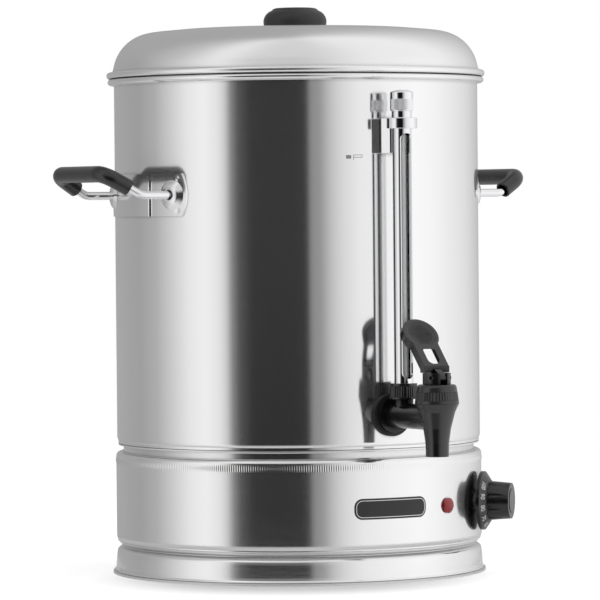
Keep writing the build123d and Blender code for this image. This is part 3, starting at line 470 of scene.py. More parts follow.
def tube(
    path: Array, radius: Array, width: Array, segments: int = 32, ends: tuple[Array, Array] | None = None
) -> Surface:
    """A round section carried along a flat path: p + r (side cos a + width sin a), the side square to both.

    Args:
        path: points in three dimensions, all in one plane.
        radius: the section's radius at each point.
        width: the unit vector square to the path's plane.
        segments: columns round the section.
        ends: directions of the first and of the last few sections, where they aren't the path's own.

    Returns:
        The surface, closed to a point at both ends.
    """
    along = np.gradient(path, axis=0)
    if ends:
        along[: len(ends[0])], along[-len(ends[1]) :] = ends
    along /= np.linalg.norm(along, axis=1)[:, None]
    side = np.cross(along, width)
    angle = np.linspace(0, 2 * np.pi, segments, endpoint=False)[None, :, None]
    ring = side[:, None] * np.cos(angle) + width * np.sin(angle)
    points = path[:, None] + radius[:, None, None] * ring
    first, last = (np.broadcast_to(points[i].mean(0), points[:1].shape) for i in (0, -1))
    return Surface(np.concatenate([first, points, last]))


def wall(outer: Array, inner: Array) -> Surface:
    """The closed wall between two sheets of points, meeting in a line halfway at its first and last row.

    Args:
        outer: the outer sheet, rows by columns.
        inner: the inner sheet, of the same shape.

    Returns:
        The surface, closed all round.
    """
    middle = (outer + inner) / 2
    loops = [np.concatenate([a, b[:, ::-1]], axis=1) for a, b in ((middle[:1], middle[:1]), (outer, inner))]
    loops.append(np.concatenate([middle[-1:], middle[-1:, ::-1]], axis=1))
    return Surface(np.concatenate(loops))


def prism(outline: Array, bottom: float, top: float, edge: float) -> Surface:
    """An outline carried straight up, with its upper and lower edges chamfered and both ends closed.

    Args:
        outline: corners of a closed outline, anticlockwise.
        bottom: height of the lower end.
        top: height of the upper end.
        edge: size of the chamfers.

    Returns:
        The surface.
    """
    inside = offset_line(outline, edge, closed=True)
    middle = np.broadcast_to(outline.mean(0), outline.shape)
    levels = [
        (middle, bottom), (inside, bottom), (outline, bottom + edge), (outline, top - edge), (inside, top),
        (middle, top),
    ]
    return Surface(np.stack([np.column_stack([line, np.full(len(line), z)]) for line, z in levels]))


def rounded_rectangle(width: float, height: float, radius: float) -> Array:
    """Anticlockwise outline of a rectangle with round corners, centred on the origin."""
    x, y = width / 2, height / 2
    return round_line([(-x, -y), (x, -y), (x, y), (-x, y)], radius, closed=True)


def subdivide(line: Array, longest: float) -> Array:
    """Divides the runs of a closed line evenly.

    Args:
        line: points of the line.
        longest: the length that no run is to pass.

    Returns:
        The old points with the new ones between them.
    """
    after = np.roll(line, -1, axis=0)
    parts = [
        np.linspace(a, b, int(np.linalg.norm(b - a) / longest) + 1, endpoint=False)
        for a, b in zip(line, after)
    ]
    return np.concatenate(parts)


def wrap(
    rings: list[tuple[Array, float]], radius: float, height: float, azimuth: float = 0.0,
    closed: bool = False,
) -> Surface:
    """Bends flat rings of points onto an upright cylinder: x becomes an arc length, and y a height.

    Args:
        rings: pairs of a ring's flat points and its distance from the cylinder.
        radius: the cylinder's radius.
        height: the height of the rings' y = 0.
        azimuth: degrees from the tap's direction to the rings' x = 0.
        closed: whether the last ring joins the first.

    Returns:
        The surface that joins the rings in their order.
    """
    turns = [math.radians(azimuth) + flat[:, 0] / radius for flat, _ in rings]
    points = [
        np.stack([(radius + stand) * np.sin(turn), -(radius + stand) * np.cos(turn), height + flat[:, 1]], -1)
        for turn, (flat, stand) in zip(turns, rings)
    ]
    return Surface(np.stack(points), close_rows=closed)


def smooth_step(value: Array) -> Array:
    """Gives 0 below 0, 1 above 1, and 3 v^2 - 2 v^3 between them."""
    v = np.clip(value, 0, 1)
    return v * v * (3 - 2 * v)


def along_radius(surface: Surface, azimuth: float, height: float, stand: float = 0.0) -> Surface:
    """Lays an upright surface down so that its axis points away from the urn's axis.

    Args:
        surface: a surface turned about Z.
        azimuth: degrees from the tap's direction, -Y, towards +X.
        height: the height of its new axis.
        stand: distance added along that axis.

    Returns:
        The turned surface: its x goes round the urn, its y up, and its z outwards.
    """
    a = math.radians(azimuth)
    outward, round_urn = np.array([math.sin(a), -math.cos(a), 0]), np.array([math.cos(a), math.sin(a), 0])
    p = surface.points
    points = p[..., :1] * round_urn + p[..., 1:2] * np.array([0, 0, 1]) + (p[..., 2:] + stand) * outward
    points = points + np.array([0, 0, height])
    return Surface(points, surface.close_rows)


def span(node: str) -> tuple[Array, Array]:
    """Lowest and highest corner of a node, in millimetres."""
    low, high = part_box(node)
    return np.array(low) / MM, np.array(high) / MM


def make_piece(
    name: str, surfaces: list[Surface], finish: Finish, body: Body, replaced: tuple[str, ...] = (),
    crease: float = 38.0,
) -> None:
    """Joins surfaces into one piece, at the origin, with its place in its mesh.

    Args:
        name: the piece's name.
        surfaces: its closed surfaces, in millimetres.
        finish: what it is made of.
        body: the body that it rides on.
        replaced: the nodes that it stands for.
        crease: degrees between faces above which an edge stays sharp.
    """
    first = np.cumsum([0] + [s.points[..., 0].size for s in surfaces])
    points = np.concatenate([s.points.reshape(-1, 3) for s in surfaces]) * MM
    faces = np.concatenate([s.faces() + start for s, start in zip(surfaces, first)])
    mesh = bpy.data.meshes.new(name)
    mesh.from_pydata(points, [], faces.tolist())
    finish_piece(mesh, finish, body, replaced, crease)


def finish_piece(
    mesh: bpy.types.Mesh, finish: Finish, body: Body, replaced: tuple[str, ...] = (),
    crease: float = 38.0,
) -> None:
    """Merges a mesh's seams and poles, turns its faces outwards, and makes it a piece of the urn.

    Args:
        mesh: the mesh, in metres, at its place.
        finish: what it is made of.
        body: the body that it rides on.
        replaced: the nodes that it stands for.
        crease: degrees between faces above which an edge stays sharp.
    """
    work = bmesh.new()
    work.from_mesh(mesh)
    bmesh.ops.remove_doubles(work, verts=work.verts, dist=1e-6)
    bmesh.ops.dissolve_degenerate(work, edges=work.edges, dist=1e-7)
    bmesh.ops.recalc_face_normals(work, faces=work.faces)
    work.to_mesh(mesh)
    work.free()
    mesh.polygons.foreach_set("use_smooth", np.ones(len(mesh.polygons), bool))
    mesh.set_sharp_from_angle(angle=math.radians(crease))
    mesh.materials.clear()
    mesh.materials.append(finish.material())
    obj = bpy.data.objects.new(mesh.name, mesh)
    bpy.context.scene.collection.objects.link(obj)
    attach(obj, body.value)
    if replaced:
        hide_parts(*replaced)
    LOG.info("%s: %d faces", mesh.name, len(mesh.polygons))


# ---- sub-assemblies ----


@dataclass
class Drum:
    """The tank's wall, with its rolled rim and its narrower neck, and the level mark on it."""

    radius: float = 158.0
    sheet: float = 1.0
    neck_step: float = 5.5
    neck_height: float = 15.6
    neck_crease: float = 2.2
    shoulder_round: float = 6.6
    rim_overhang: float = 5.5
    rim_drop: float = 1.1
    rim_height: float = 5.1
    rim_round: float = 2.5
    rim_crease: float = 0.8
    lip_round: float = 0.4
    mark_azimuth: float = -13.4
    mark_height: float = 357.9
    mark_length: float = 4.6
    mark_width: float = 3.0
    mark_round: float = 0.8
    mark_depth: float = 0.06
    tab_gap: float = 2.0
    tab_rise: float = 0.6
    tab_length: float = 7.6
    tab_height: float = 2.0
    tab_line: float = 0.45

    def build(self) -> None:
        """Turns the wall and etches the mark."""
        low, high = span("tank_wall")
        neck, rim = self.radius - self.neck_step, self.radius + self.rim_overhang
        inside = self.radius - self.sheet
        bottom, top = low[2] + self.neck_height, high[2] - self.rim_drop
        rim_bottom = top - self.rim_height
        corners = [
            (neck, low[2]), (neck, bottom), (self.radius, bottom), (self.radius, rim_bottom),
            (rim, rim_bottom), (rim, top), (inside, top), (inside, bottom + self.sheet),
            (neck - self.sheet, bottom + self.sheet), (neck - self.sheet, low[2]),
        ]
        radii = [0, self.neck_crease, self.shoulder_round, self.rim_crease, self.rim_round, self.rim_round]
        radii += [self.lip_round, 0, 0, 0]
        profile = round_line(corners, radii, closed=True, step=6)
        make_piece("drum_wall", [lathe(profile, 360)], BRUSHED_STEEL, Body.URN, ("tank_wall",))
        self.etch_mark()

    def etch_mark(self) -> None:
        """A short bar and an outlined tab beside it, which show how far to fill."""
        bar = rounded_rectangle(self.mark_length, self.mark_width, self.mark_round)
        long, tall, line = self.tab_length, self.tab_height, self.tab_line
        # the lines of the tab: where the middle of each lies, its width and its height
        runs = [
            (0, tall / 2, long, line), (0, -tall / 2, long, line), (long / 2, 0, line, tall + line),
            (-long / 2, -tall / 2, line, 2 * tall + line),
        ]
        away = np.array([self.mark_length / 2 + self.tab_gap + long / 2, self.tab_rise])
        tabs = [
            rounded_rectangle(wide, high, line / 3) + away + np.array([x, y])
            for x, y, wide, high in runs
        ]
        marks = []
        for shape in (bar, *tabs):
            middle = np.broadcast_to(shape.mean(0), shape.shape)
            rings = [(middle, 0.0), (shape, 0.0), (shape, self.mark_depth), (middle, self.mark_depth)]
            marks.append(wrap(rings, self.radius, self.mark_height, self.mark_azimuth))
        make_piece("level_mark", marks, GREY_INK, Body.URN)


@dataclass
class Base:
    """The base's pressed jacket with groove, flared foot and crimped top band, and the blank name plate."""

    radius: float = 159.0
    sheet: float = 1.0
    # radii of the outer corners, from the foot up to the lip under the drum
    rounds: tuple[float, ...] = (0.8, 3.0, 8.0, 3.0, 0.6, 10.5, 3.6, 0.4)
    top_rise: float = 2.4
    neck_gap: float = 0.1
    lip_rise: float = 0.8
    groove_depth: float = 5.6
    groove_z: float = 24.0
    groove_top: float = 28.2
    bead_z: float = 20.8
    bead_inset: float = 0.7
    step_z: float = 17.0
    step_inset: float = 0.15
    flare_z: float = 4.6
    flare_spread: float = 0.8
    foot_spread: float = 2.4
    foot_top: float = 1.9
    crimp_pitch: float = 2.0
    crimp_depth: float = 0.28
    crimp_height: float = 5.8
    crimp_drop: float = 4.0
    crimp_stand: float = 0.03
    crimp_back: float = 0.5
    hem_lift: float = 0.05
    hem_gap: float = 0.4
    hem_width: float = 4.0
    hem_round: float = 0.7
    plate_width: float = 70.0
    plate_height: float = 17.5
    plate_sheet: float = 0.6
    plate_corner: float = 7.0
    plate_edge: float = 0.25
    plate_sunk: float = 0.3
    plate_step: float = 3.0
    line_inset: float = 1.5
    line_width: float = 0.5
    line_sunk: float = 0.04
    line_stand: float = 0.06
    plate_z: float = 63.0

    def build(self) -> None:
        """Turns the jacket, then adds the crimp, the foot's hem and the plate."""
        top = span("base_shell")[1][2] + self.top_rise
        lip, inside = span("tank_wall")[0][2], self.radius - self.sheet
        neck = Drum.radius - Drum.neck_step + self.neck_gap
        groove, foot = self.radius - self.groove_depth, self.radius + self.foot_spread
        corners = [
            (foot, self.foot_top), (self.radius + self.flare_spread, self.flare_z),
            (self.radius - self.step_inset, self.step_z), (self.radius - self.bead_inset, self.bead_z),
            (groove, self.groove_z), (self.radius, self.groove_top), (self.radius, top),
            (neck, top + self.lip_rise), (neck, lip), (inside, lip), (inside, self.groove_top),
            (groove - self.sheet, self.groove_z), (inside - self.bead_inset, self.bead_z),
            (foot - self.sheet, self.foot_top),
        ]
        radii = [*self.rounds, *[0] * (len(corners) - len(self.rounds))]
        profile = round_line(corners, radii, closed=True, step=6)
        make_piece(
            "base_jacket", [lathe(profile, 360)], PRESSED_STEEL, Body.URN, ("base_shell",)
        )
        self.crimp(top)
        self.hem(foot)
        self.name_plate()

    def crimp(self, top: float) -> None:
        """Fine upright ribs under the top edge: a strip whose radius swings with the cosine of count x angle.

        Args:
            top: the height of the jacket's side.
        """
        count = round(2 * np.pi * self.radius / self.crimp_pitch)
        high, low = top - self.crimp_drop, top - self.crimp_drop - self.crimp_height
        rows, per_rib = 6, 4
        z = np.linspace(high, low, rows)
        fade = np.sin(np.linspace(0, np.pi, rows)) ** 0.5
        swing = np.cos(np.arange(per_rib * count) * 2 * np.pi / per_rib)
        front = np.column_stack([np.full(rows, self.radius + self.crimp_stand), z])
        relief = self.crimp_depth * fade[:, None] * (1 + swing[None]) / 2
        back = np.array([(self.radius - self.crimp_back, low), (self.radius - self.crimp_back, high)])
        relief = np.concatenate([relief, np.zeros((2, relief.shape[1]))])
        strip = lathe(np.concatenate([front, back]), per_rib * count, relief=relief)
        make_piece("crimped_band", [strip], PRESSED_STEEL, Body.URN, crease=80)

    def hem(self, foot: float) -> None:
        """The rolled hem that stands on the counter.

        Args:
            foot: the radius of the jacket's foot.
        """
        inner, top = foot - self.hem_width, self.foot_top - self.hem_gap
        corners = [(foot, self.hem_lift), (foot, top), (inner, top), (inner, self.hem_lift)]
        profile = round_line(corners, [self.hem_round, self.hem_round, 0, 0], closed=True, step=15)
        make_piece("foot_hem", [lathe(profile, 360)], PRESSED_STEEL, Body.URN)

    def outline(self, inset: float) -> Array:
        """The plate's outline, or one inside it, with its runs short enough to bend."""
        width, height = self.plate_width - 2 * inset, self.plate_height - 2 * inset
        return subdivide(rounded_rectangle(width, height, self.plate_corner - inset), self.plate_step)

    def name_plate(self) -> None:
        """A blank enamelled plate, whose rings shrink from outline to spine, and a silver keyline on it."""
        rim, stand, sunk = self.outline(0), self.plate_sheet, -self.plate_sunk
        reach, half = rim.max(0)
        spine = np.column_stack([np.clip(rim[:, 0], half - reach, reach - half), 0 * rim[:, 1]])
        inside = offset_line(rim, self.plate_edge, closed=True)
        rings = [(spine, sunk), (rim, sunk), (rim, stand - self.plate_edge), (inside, stand), (spine, stand)]
        plate = wrap(rings, self.radius, self.plate_z)
        make_piece("name_plate", [plate], BLACK_ENAMEL, Body.URN)
        outer = self.outline(self.line_inset)
        inner = offset_line(outer, self.line_width, closed=True)
        low, high = stand - self.line_sunk, stand + self.line_stand
        rings = [(outer, low), (outer, high), (inner, high), (inner, low)]
        keyline = wrap(rings, self.radius, self.plate_z, closed=True)
        make_piece("name_line", [keyline], SILVER_FOIL, Body.URN)


@dataclass
class Lid:
    """The spun lid with its rolled rim and collar, and its moulded knob."""

    overhang: float = 6.4
    rim_height: float = 5.2
    rim_round: float = 2.5
    crease: float = 5.2
    crease_rise: float = 0.9
    dome_inset: float = 7.2
    dome_rise: float = 31.1
    dome_round: float = 36.0
    crown_round: float = 60.0
    crown_run: float = 47.0
    crown_rise: float = 4.4
    crown_drop: float = 2.6
    collar_depth: float = 8.2
    collar_gap: float = 2.0
    sheet: float = 1.0
    knob_foot: float = 27.1
    knob_radius: float = 27.5
    knob_step: float = 20.2
    knob_top: float = 19.3
    knob_height: float = 17.1
    knob_swell: float = 4.6
    knob_shoulder: tuple[float, float] = (10.5, 10.3)
    knob_step_z: float = 14.5
    knob_cap_z: float = 15.6
    knob_crown: float = 17.1
    knob_crown_drop: float = 0.6
    knob_rounds: tuple[float, float] = (0.5, 3.0)

    def build(self) -> None:
        """Turns the lid and its knob."""
        low, high = span("lid_shell")
        self.shell(low[2] + self.collar_depth, high[2] - self.crown_drop)
        self.knob(high[2] - self.crown_drop)

    def shell(self, foot: float, seat: float) -> None:
        """The dome as a rounded line, and the same line moved in by the sheet's thickness for its inside.

        Args:
            foot: the height at which the lid rests on the drum's rim.
            seat: the height at which the knob rests on the lid.
        """
        rim = Drum.radius + self.overhang
        crease, crease_z = rim - self.crease, foot + self.rim_height + self.crease_rise
        shoulder, shoulder_z = crease - self.dome_inset, crease_z + self.dome_rise
        crown, crown_z = shoulder - self.crown_run, shoulder_z + self.crown_rise
        dome = round_line(
            [
                (crease, crease_z), (shoulder, shoulder_z), (crown, crown_z), (self.knob_radius + 1, seat),
                (0, seat),
            ],
            [0, self.dome_round, self.crown_round, self.crown_round, 0], step=4,
        )
        collar = Drum.radius - self.collar_gap
        rolled = round_line(
            [(collar, foot), (rim, foot), (rim, foot + self.rim_height), (crease, crease_z)],
            [0, self.rim_round, self.rim_round, 0], step=12,
        )
        inside = offset_line(dome, self.sheet)[::-1]
        inside[0, 0] = 0
        within, low = collar - self.sheet, foot - self.collar_depth
        profile = np.concatenate([
            rolled[:-1], dome, inside, [(within, crease_z - 1), (within, low), (collar, low)]
        ])
        make_piece("lid_dome", [lathe(profile, 360)], SPUN_STEEL, Body.LID, ("lid_shell",))

    def knob(self, seat: float) -> None:
        """The knob: its shoulder is a quarter of an ellipse, under a stepped cap with a low crown.

        Args:
            seat: the height at which the knob rests on the lid.
        """
        a, b = self.knob_shoulder
        centre = self.knob_radius - a
        t = np.linspace(0, np.arccos((self.knob_step - centre) / a), 14)
        shoulder = np.column_stack([centre + a * np.cos(t), self.knob_swell + b * np.sin(t)])
        cap = round_line(
            [
                (self.knob_step, self.knob_step_z), (self.knob_top, self.knob_cap_z),
                (self.knob_crown, self.knob_height - self.knob_crown_drop), (0, self.knob_height),
            ],
            [0, *self.knob_rounds, 0], step=6,
        )
        profile = np.concatenate([[(0, 0), (self.knob_foot, 0)], shoulder, cap[1:]]) + np.array([0, seat])
        knob = lathe(profile, 96, closed=False)
        make_piece("lid_grip_knob", [knob], KNOB_MOULDING, Body.LID, ("lid_knob",))


@dataclass
class Handle:
    """One side handle: the pressed plate with its bosses, two bent rods and the moulded grip."""

    side: Side
    spread: float = 52.5
    plate_width: float = 135.0
    plate_height: float = 36.0
    plate_bulge: float = 4.7
    plate_sheet: float = 1.5
    plate_gap: float = 0.1
    plate_raise: float = 1.8
    joggle: float = 1.7  # how long the step up to the raised middle is, in sheet thicknesses
    raised_half: float = 27.6
    weld_spread: float = 58.5
    weld_rise: float = 13.4
    weld_radius: float = 1.3
    weld_depth: float = 0.45
    boss_radius: float = 12.0
    boss_height: float = 4.2
    boss_top: float = 6.5
    boss_sunk: float = 0.3
    boss_foot: tuple[float, float] = (1.0, 0.5)
    boss_shoulder: tuple[float, float] = (2.4, 1.1)
    boss_lip: float = 1.2
    boss_rounds: tuple[float, float, float] = (2.0, 4.0, 1.0)
    hole_drop: float = 0.5
    hole_radius: float = 4.3
    rod_radius: float = 3.5
    rod_bend: float = 21.0
    rod_round: float = 14.0
    rod_rise: float = 30.0
    rod_run: float = 10.0
    rod_socket: float = 8.0
    rod_gap: float = 0.4
    splay: float = 15.3
    grip_leg: float = 21.0
    grip_radius: float = 7.0
    grip_corner: float = 14.0
    cup_wall: float = 1.6
    cup_depth: float = 3.0

    @property
    def middle(self) -> float:
        """The height of the plate's middle."""
        low, high = span(f"handle_bracket_{self.side.name.lower()}")
        return (low[2] + high[2]) / 2

    def build(self) -> None:
        """Builds the plate, the rods and the grip for +X, and mirrors them for the other side."""
        self.plate()
        self.rods_and_grip()

    def piece(self, name: str, surfaces: list[Surface], finish: Finish, node: str) -> None:
        """Makes one of the handle's pieces, on its own side.

        Args:
            name: the piece's name without its side.
            surfaces: its surfaces, made for +X.
            finish: what it is made of.
            node: the name without its side of the node that it stands for.
        """
        for surface in surfaces:
            surface.points = surface.points * np.array([self.side.value, 1, 1])
        side = self.side.name.lower()
        make_piece(f"{name}_{side}", surfaces, finish, Body.URN, (f"{node}_{side}",))

    def plate(self) -> None:
        """The plate as a sheet bent to the drum, with arcs for its ends: its radius rises in the middle by a
        smooth step, and dips at each weld by a Gaussian of the distance from it."""
        half, tall = self.plate_width / 2, self.plate_height / 2
        end_radius = (tall**2 + self.plate_bulge**2) / (2 * self.plate_bulge)
        z = tall * np.sin(np.linspace(-np.pi / 2, np.pi / 2, 44))[:, None]
        v = np.linspace(-1, 1, 230)[None]
        y = v * (half - end_radius + np.sqrt(end_radius**2 - z**2))
        z = np.broadcast_to(z, y.shape)
        joggle = self.joggle * self.plate_sheet
        stand = self.plate_raise * smooth_step((self.raised_half + joggle / 2 - np.abs(y)) / joggle)
        far = (np.abs(y) - self.weld_spread) ** 2 + (np.abs(z) - self.weld_rise) ** 2
        dip = self.weld_depth * np.exp(-far / (2 * self.weld_radius**2))
        inner = Drum.radius + self.plate_gap + stand
        outer = inner + self.plate_sheet - dip

        def sheet(radius: Array) -> Array:
            """Bends the grid: x is the square root of radius squared less y squared."""
            return np.stack([np.sqrt(radius**2 - y**2), y, z + self.middle], -1)

        surfaces = [wall(sheet(outer), sheet(inner)), *(self.boss(sign) for sign in (-1, 1))]
        self.piece("handle_plate", surfaces, BUFFED_STEEL, "handle_bracket")

    def boss(self, sign: int) -> Surface:
        """A domed boss with the rod's hole in its top, standing square to the drum.

        Args:
            sign: -1 for the boss nearer to the tap, 1 for the other.

        Returns:
            The boss, for the handle on +X.
        """
        back = Drum.radius + self.plate_sheet
        corners = [
            (self.hole_radius, -self.boss_sunk), (self.boss_radius + self.boss_foot[0], -self.boss_sunk),
            (self.boss_radius, self.boss_foot[1]),
            (self.boss_top + self.boss_shoulder[0], self.boss_height - self.boss_shoulder[1]),
            (self.boss_top - self.boss_lip, self.boss_height),
            (self.hole_radius, self.boss_height - self.hole_drop),
        ]
        profile = round_line(corners, [0, 0, *self.boss_rounds, 0], closed=True, step=12)
        azimuth = 90 + sign * math.degrees(math.asin(self.spread / back))
        return along_radius(lathe(profile, 64), azimuth, self.middle, back)

    def rods_and_grip(self) -> None:
        """The rods and the grip's legs lean up by the rise and in by the splay, each on a rounded line."""
        rise, close = math.tan(math.radians(self.rod_rise)), math.tan(math.radians(self.splay))
        bend_x = Drum.radius + self.rod_bend
        legs = {sign: np.array([1, -sign * close, rise]) for sign in (-1, 1)}
        bends = {sign: np.array([bend_x, sign * self.spread, self.middle]) for sign in (-1, 1)}
        rods = []
        for sign, leg in legs.items():
            way = leg / np.linalg.norm(leg)
            tip = bends[sign] + leg * self.rod_run + way * self.rod_socket
            foot = bends[sign].copy()
            foot[0] = math.sqrt(Drum.radius**2 - (self.spread - self.rod_radius) ** 2) + self.rod_gap
            path = round_line([foot, bends[sign], tip], self.rod_round, step=4)
            width = np.cross([1.0, 0, 0], way)
            rods.append(tube(path, np.full(len(path), self.rod_radius), width / np.linalg.norm(width)))
        self.piece("handle_rods", rods, CHROME, "handle_rods")

        starts = {sign: bends[sign] + legs[sign] * self.rod_run for sign in (-1, 1)}
        bars = {sign: starts[sign] + legs[sign] * self.grip_leg for sign in (-1, 1)}
        path = round_line([starts[-1], bars[-1], bars[1], starts[1]], self.grip_corner, step=6)
        ways = {sign: leg / np.linalg.norm(leg) for sign, leg in legs.items()}
        square = np.cross(legs[-1], legs[1])
        cup, lip, depth = self.grip_radius - self.cup_wall, self.grip_radius - 0.5, self.cup_depth
        # how far each ring of an end lies along the leg, and its radius, from the rod in its cup to the grip
        ends = np.array([
            (depth, self.rod_radius), (depth - 0.4, cup - 0.3), (0.1, cup), (0, lip), (0.5, self.grip_radius)
        ])
        first = path[0] + ends[:, :1] * ways[-1]
        last = path[-1] + ends[::-1, :1] * ways[1]
        clear = np.minimum(
            np.linalg.norm(path - path[0], axis=1), np.linalg.norm(path - path[-1], axis=1)
        ) > 1
        line = np.concatenate([first, path[clear], last])
        radius = np.concatenate([ends[:, 1], np.full(clear.sum(), self.grip_radius), ends[::-1, 1]])
        facing = tuple(np.tile(way, (len(ends), 1)) for way in (ways[-1], -ways[1]))
        grip = tube(line, radius, square / np.linalg.norm(square), 40, facing)
        self.piece("handle_grip", [grip], GRIP_MOULDING, "handle_grip")


@dataclass
class SightGauge:
    """The gauge in front of the drum: its slotted chrome shield, glass, top bracket and knurled screw cap."""

    stand: float = 21.2
    shield_radius: float = 8.0
    shield_sheet: float = 0.9
    slot: float = 9.8
    slot_foot: float = 3.8
    slot_head: float = 5.6
    slot_bevel: float = 0.6
    bevel_fade: float = 1.5
    glass_radius: float = 5.6
    glass_wall: float = 1.4
    film_gap: float = 1.2
    film: float = 0.3
    film_ends: float = 1.0
    arm_width: float = 26.0
    arm_foot: float = 8.7
    arm_foot_depth: float = 9.0
    arm_front: float = 8.6
    arm_height: float = 29.5
    arm_back: float = 3.2
    arm_sunk: float = 1.5
    arm_edge: float = 0.5
    arm_drop: float = 9.3
    arm_gap: float = 0.05
    arm_rounds: tuple[float, ...] = (3.0, 3.0, 2.0, 0.4, 0.4, 2.0)
    ring_rounds: tuple[float, ...] = (0.6, 0.6, 0.3, 0.3)
    ring_radius: float = 12.9
    ring_height: float = 9.0
    neck_radius: float = 8.5
    neck_height: float = 5.7
    cap_radius: float = 9.7
    cap_inset: float = 0.4
    crown_gap: float = 0.3
    crown_drop: float = 1.9
    crown_rounds: tuple[float, float] = (1.4, 12.0)
    crown_flat: tuple[float, float] = (5.4, 0.4)
    knurl_top: float = 7.9
    knurl_depth: float = 0.28
    knurl_count: int = 44
    knurl_columns: int = 6
    knurl_rows: int = 17

    @property
    def centre(self) -> tuple[float, float]:
        """The gauge's axis, in front of the drum."""
        return 0.0, -(Drum.radius + self.stand)

    def pipe(self, outer: float, inner: float, bottom: float, top: float, segments: int) -> Surface:
        """A plain round pipe about the gauge's axis, from its two radii and two heights."""
        ring = [(outer, bottom), (outer, top), (inner, top), (inner, bottom)]
        return lathe(np.array(ring), segments, centre=self.centre)

    def build(self) -> None:
        """Builds the gauge from the foot up."""
        self.shield()
        self.glass()
        self.bracket()
        self.cap()

    def shield(self) -> None:
        """The tube between the slot's edges: at each height its half angle is asin(half width / radius)."""
        low, high = span("gauge_shield")
        foot, head, half = low[2] + self.slot_foot, high[2] - self.slot_head, self.slot / 2
        t = np.linspace(0, np.pi / 2, 14)
        z = np.concatenate([foot + half * (1 - np.cos(t)), head - half * (1 - np.cos(t[::-1]))])
        width = np.concatenate([half * np.sin(t), half * np.sin(t[::-1])])
        opening = np.arcsin(width / self.shield_radius)[:, None]
        bevel = self.slot_bevel / self.shield_radius * np.minimum(1, width / self.bevel_fade)[:, None]
        round_way = np.linspace(-1, 1, 80)[None]

        def sheet(radius: float, cut: Array) -> Array:
            """Turns the grid round the gauge's axis, from one edge of the cut to the other."""
            angle, (x, y) = (np.pi - cut) * round_way, self.centre
            return np.stack(
                [x - radius * np.sin(angle), y + radius * np.cos(angle), z[:, None] + 0 * angle], -1
            )

        outer, inner = self.shield_radius, self.shield_radius - self.shield_sheet
        surfaces = [wall(sheet(outer, opening + bevel), sheet(inner, opening))]
        surfaces += [self.pipe(outer, inner, *ends, 80) for ends in ((low[2], foot), (head, high[2]))]
        make_piece("gauge_slotted_shield", surfaces, CHROME, Body.URN, ("gauge_shield",), crease=30)

    def glass(self) -> None:
        """The glass tube and the pale film of lime on its inside."""
        low, high = span("gauge_glass")
        inner = self.glass_radius - self.glass_wall
        glass = self.pipe(self.glass_radius, inner, low[2], high[2], 64)
        make_piece("gauge_glass_tube", [glass], SIGHT_GLASS, Body.URN, ("gauge_glass",))
        outer = inner - self.film_gap
        film = self.pipe(outer, outer - self.film, low[2] + self.film_ends, high[2] - self.film_ends, 48)
        make_piece("gauge_lime_film", [film], LIME_FILM, Body.URN)

    def bracket(self) -> None:
        """The square arm off the drum, and the ring and neck that hold the tube's head."""
        top = span("gauge_arm")[1][2] - self.neck_height - self.arm_drop
        back, front = self.arm_sunk - Drum.radius, self.centre[1] + self.arm_back
        widest = -(Drum.radius + self.arm_foot_depth)
        corners = [
            (-self.arm_front, front), (self.arm_front, front), (self.arm_width / 2, widest),
            (self.arm_foot, back), (-self.arm_foot, back), (-self.arm_width / 2, widest),
        ]
        outline = round_line(corners, list(self.arm_rounds), closed=True)
        block = prism(outline, top - self.arm_height, top - self.arm_gap, self.arm_edge)
        corners = [
            (0, top - self.ring_height), (self.ring_radius, top - self.ring_height), (self.ring_radius, top),
            (self.neck_radius, top), (self.neck_radius, top + self.neck_height), (0, top + self.neck_height),
        ]
        profile = round_line(corners, [0, *self.ring_rounds, 0], step=20)
        ring = lathe(profile, 96, closed=False, centre=self.centre)
        make_piece("gauge_bracket", [block, ring], CHROME, Body.URN, ("gauge_arm",))

    def cap(self) -> None:
        """The screw cap: crossed ridges, the product of two cosines leaning opposite ways, under a crown."""
        low, high = span("gauge_cap")
        knurl_top = high[2] - self.knurl_top
        z = np.linspace(low[2] + self.cap_inset, knurl_top, self.knurl_rows)
        columns = self.knurl_columns * self.knurl_count
        angle = np.linspace(0, 2 * np.pi, columns, endpoint=False)[None]
        lean = self.knurl_count * (z[:, None] - low[2]) / self.cap_radius
        ridges = np.cos(self.knurl_count * angle + lean) * np.cos(self.knurl_count * angle - lean)
        relief = self.knurl_depth * (ridges - 1) / 2
        corners = [
            (self.cap_radius, knurl_top + self.crown_gap), (self.cap_radius, high[2] - self.crown_drop),
            (self.crown_flat[0], high[2] - self.crown_flat[1]), (0, high[2]),
        ]
        crown = round_line(corners, [0, *self.crown_rounds, 0], step=8)
        side = np.column_stack([np.full(len(z), self.cap_radius), z])
        profile = np.concatenate([[(0, low[2]), (self.cap_radius - self.cap_inset, low[2])], side, crown])
        full = np.zeros((len(profile), columns))
        full[2 : 2 + len(z)] = relief
        screw_cap = lathe(profile, columns, closed=False, centre=self.centre, relief=full)
        make_piece("gauge_screw_cap", [screw_cap], CHROME, Body.CAP, ("gauge_cap",), crease=50)


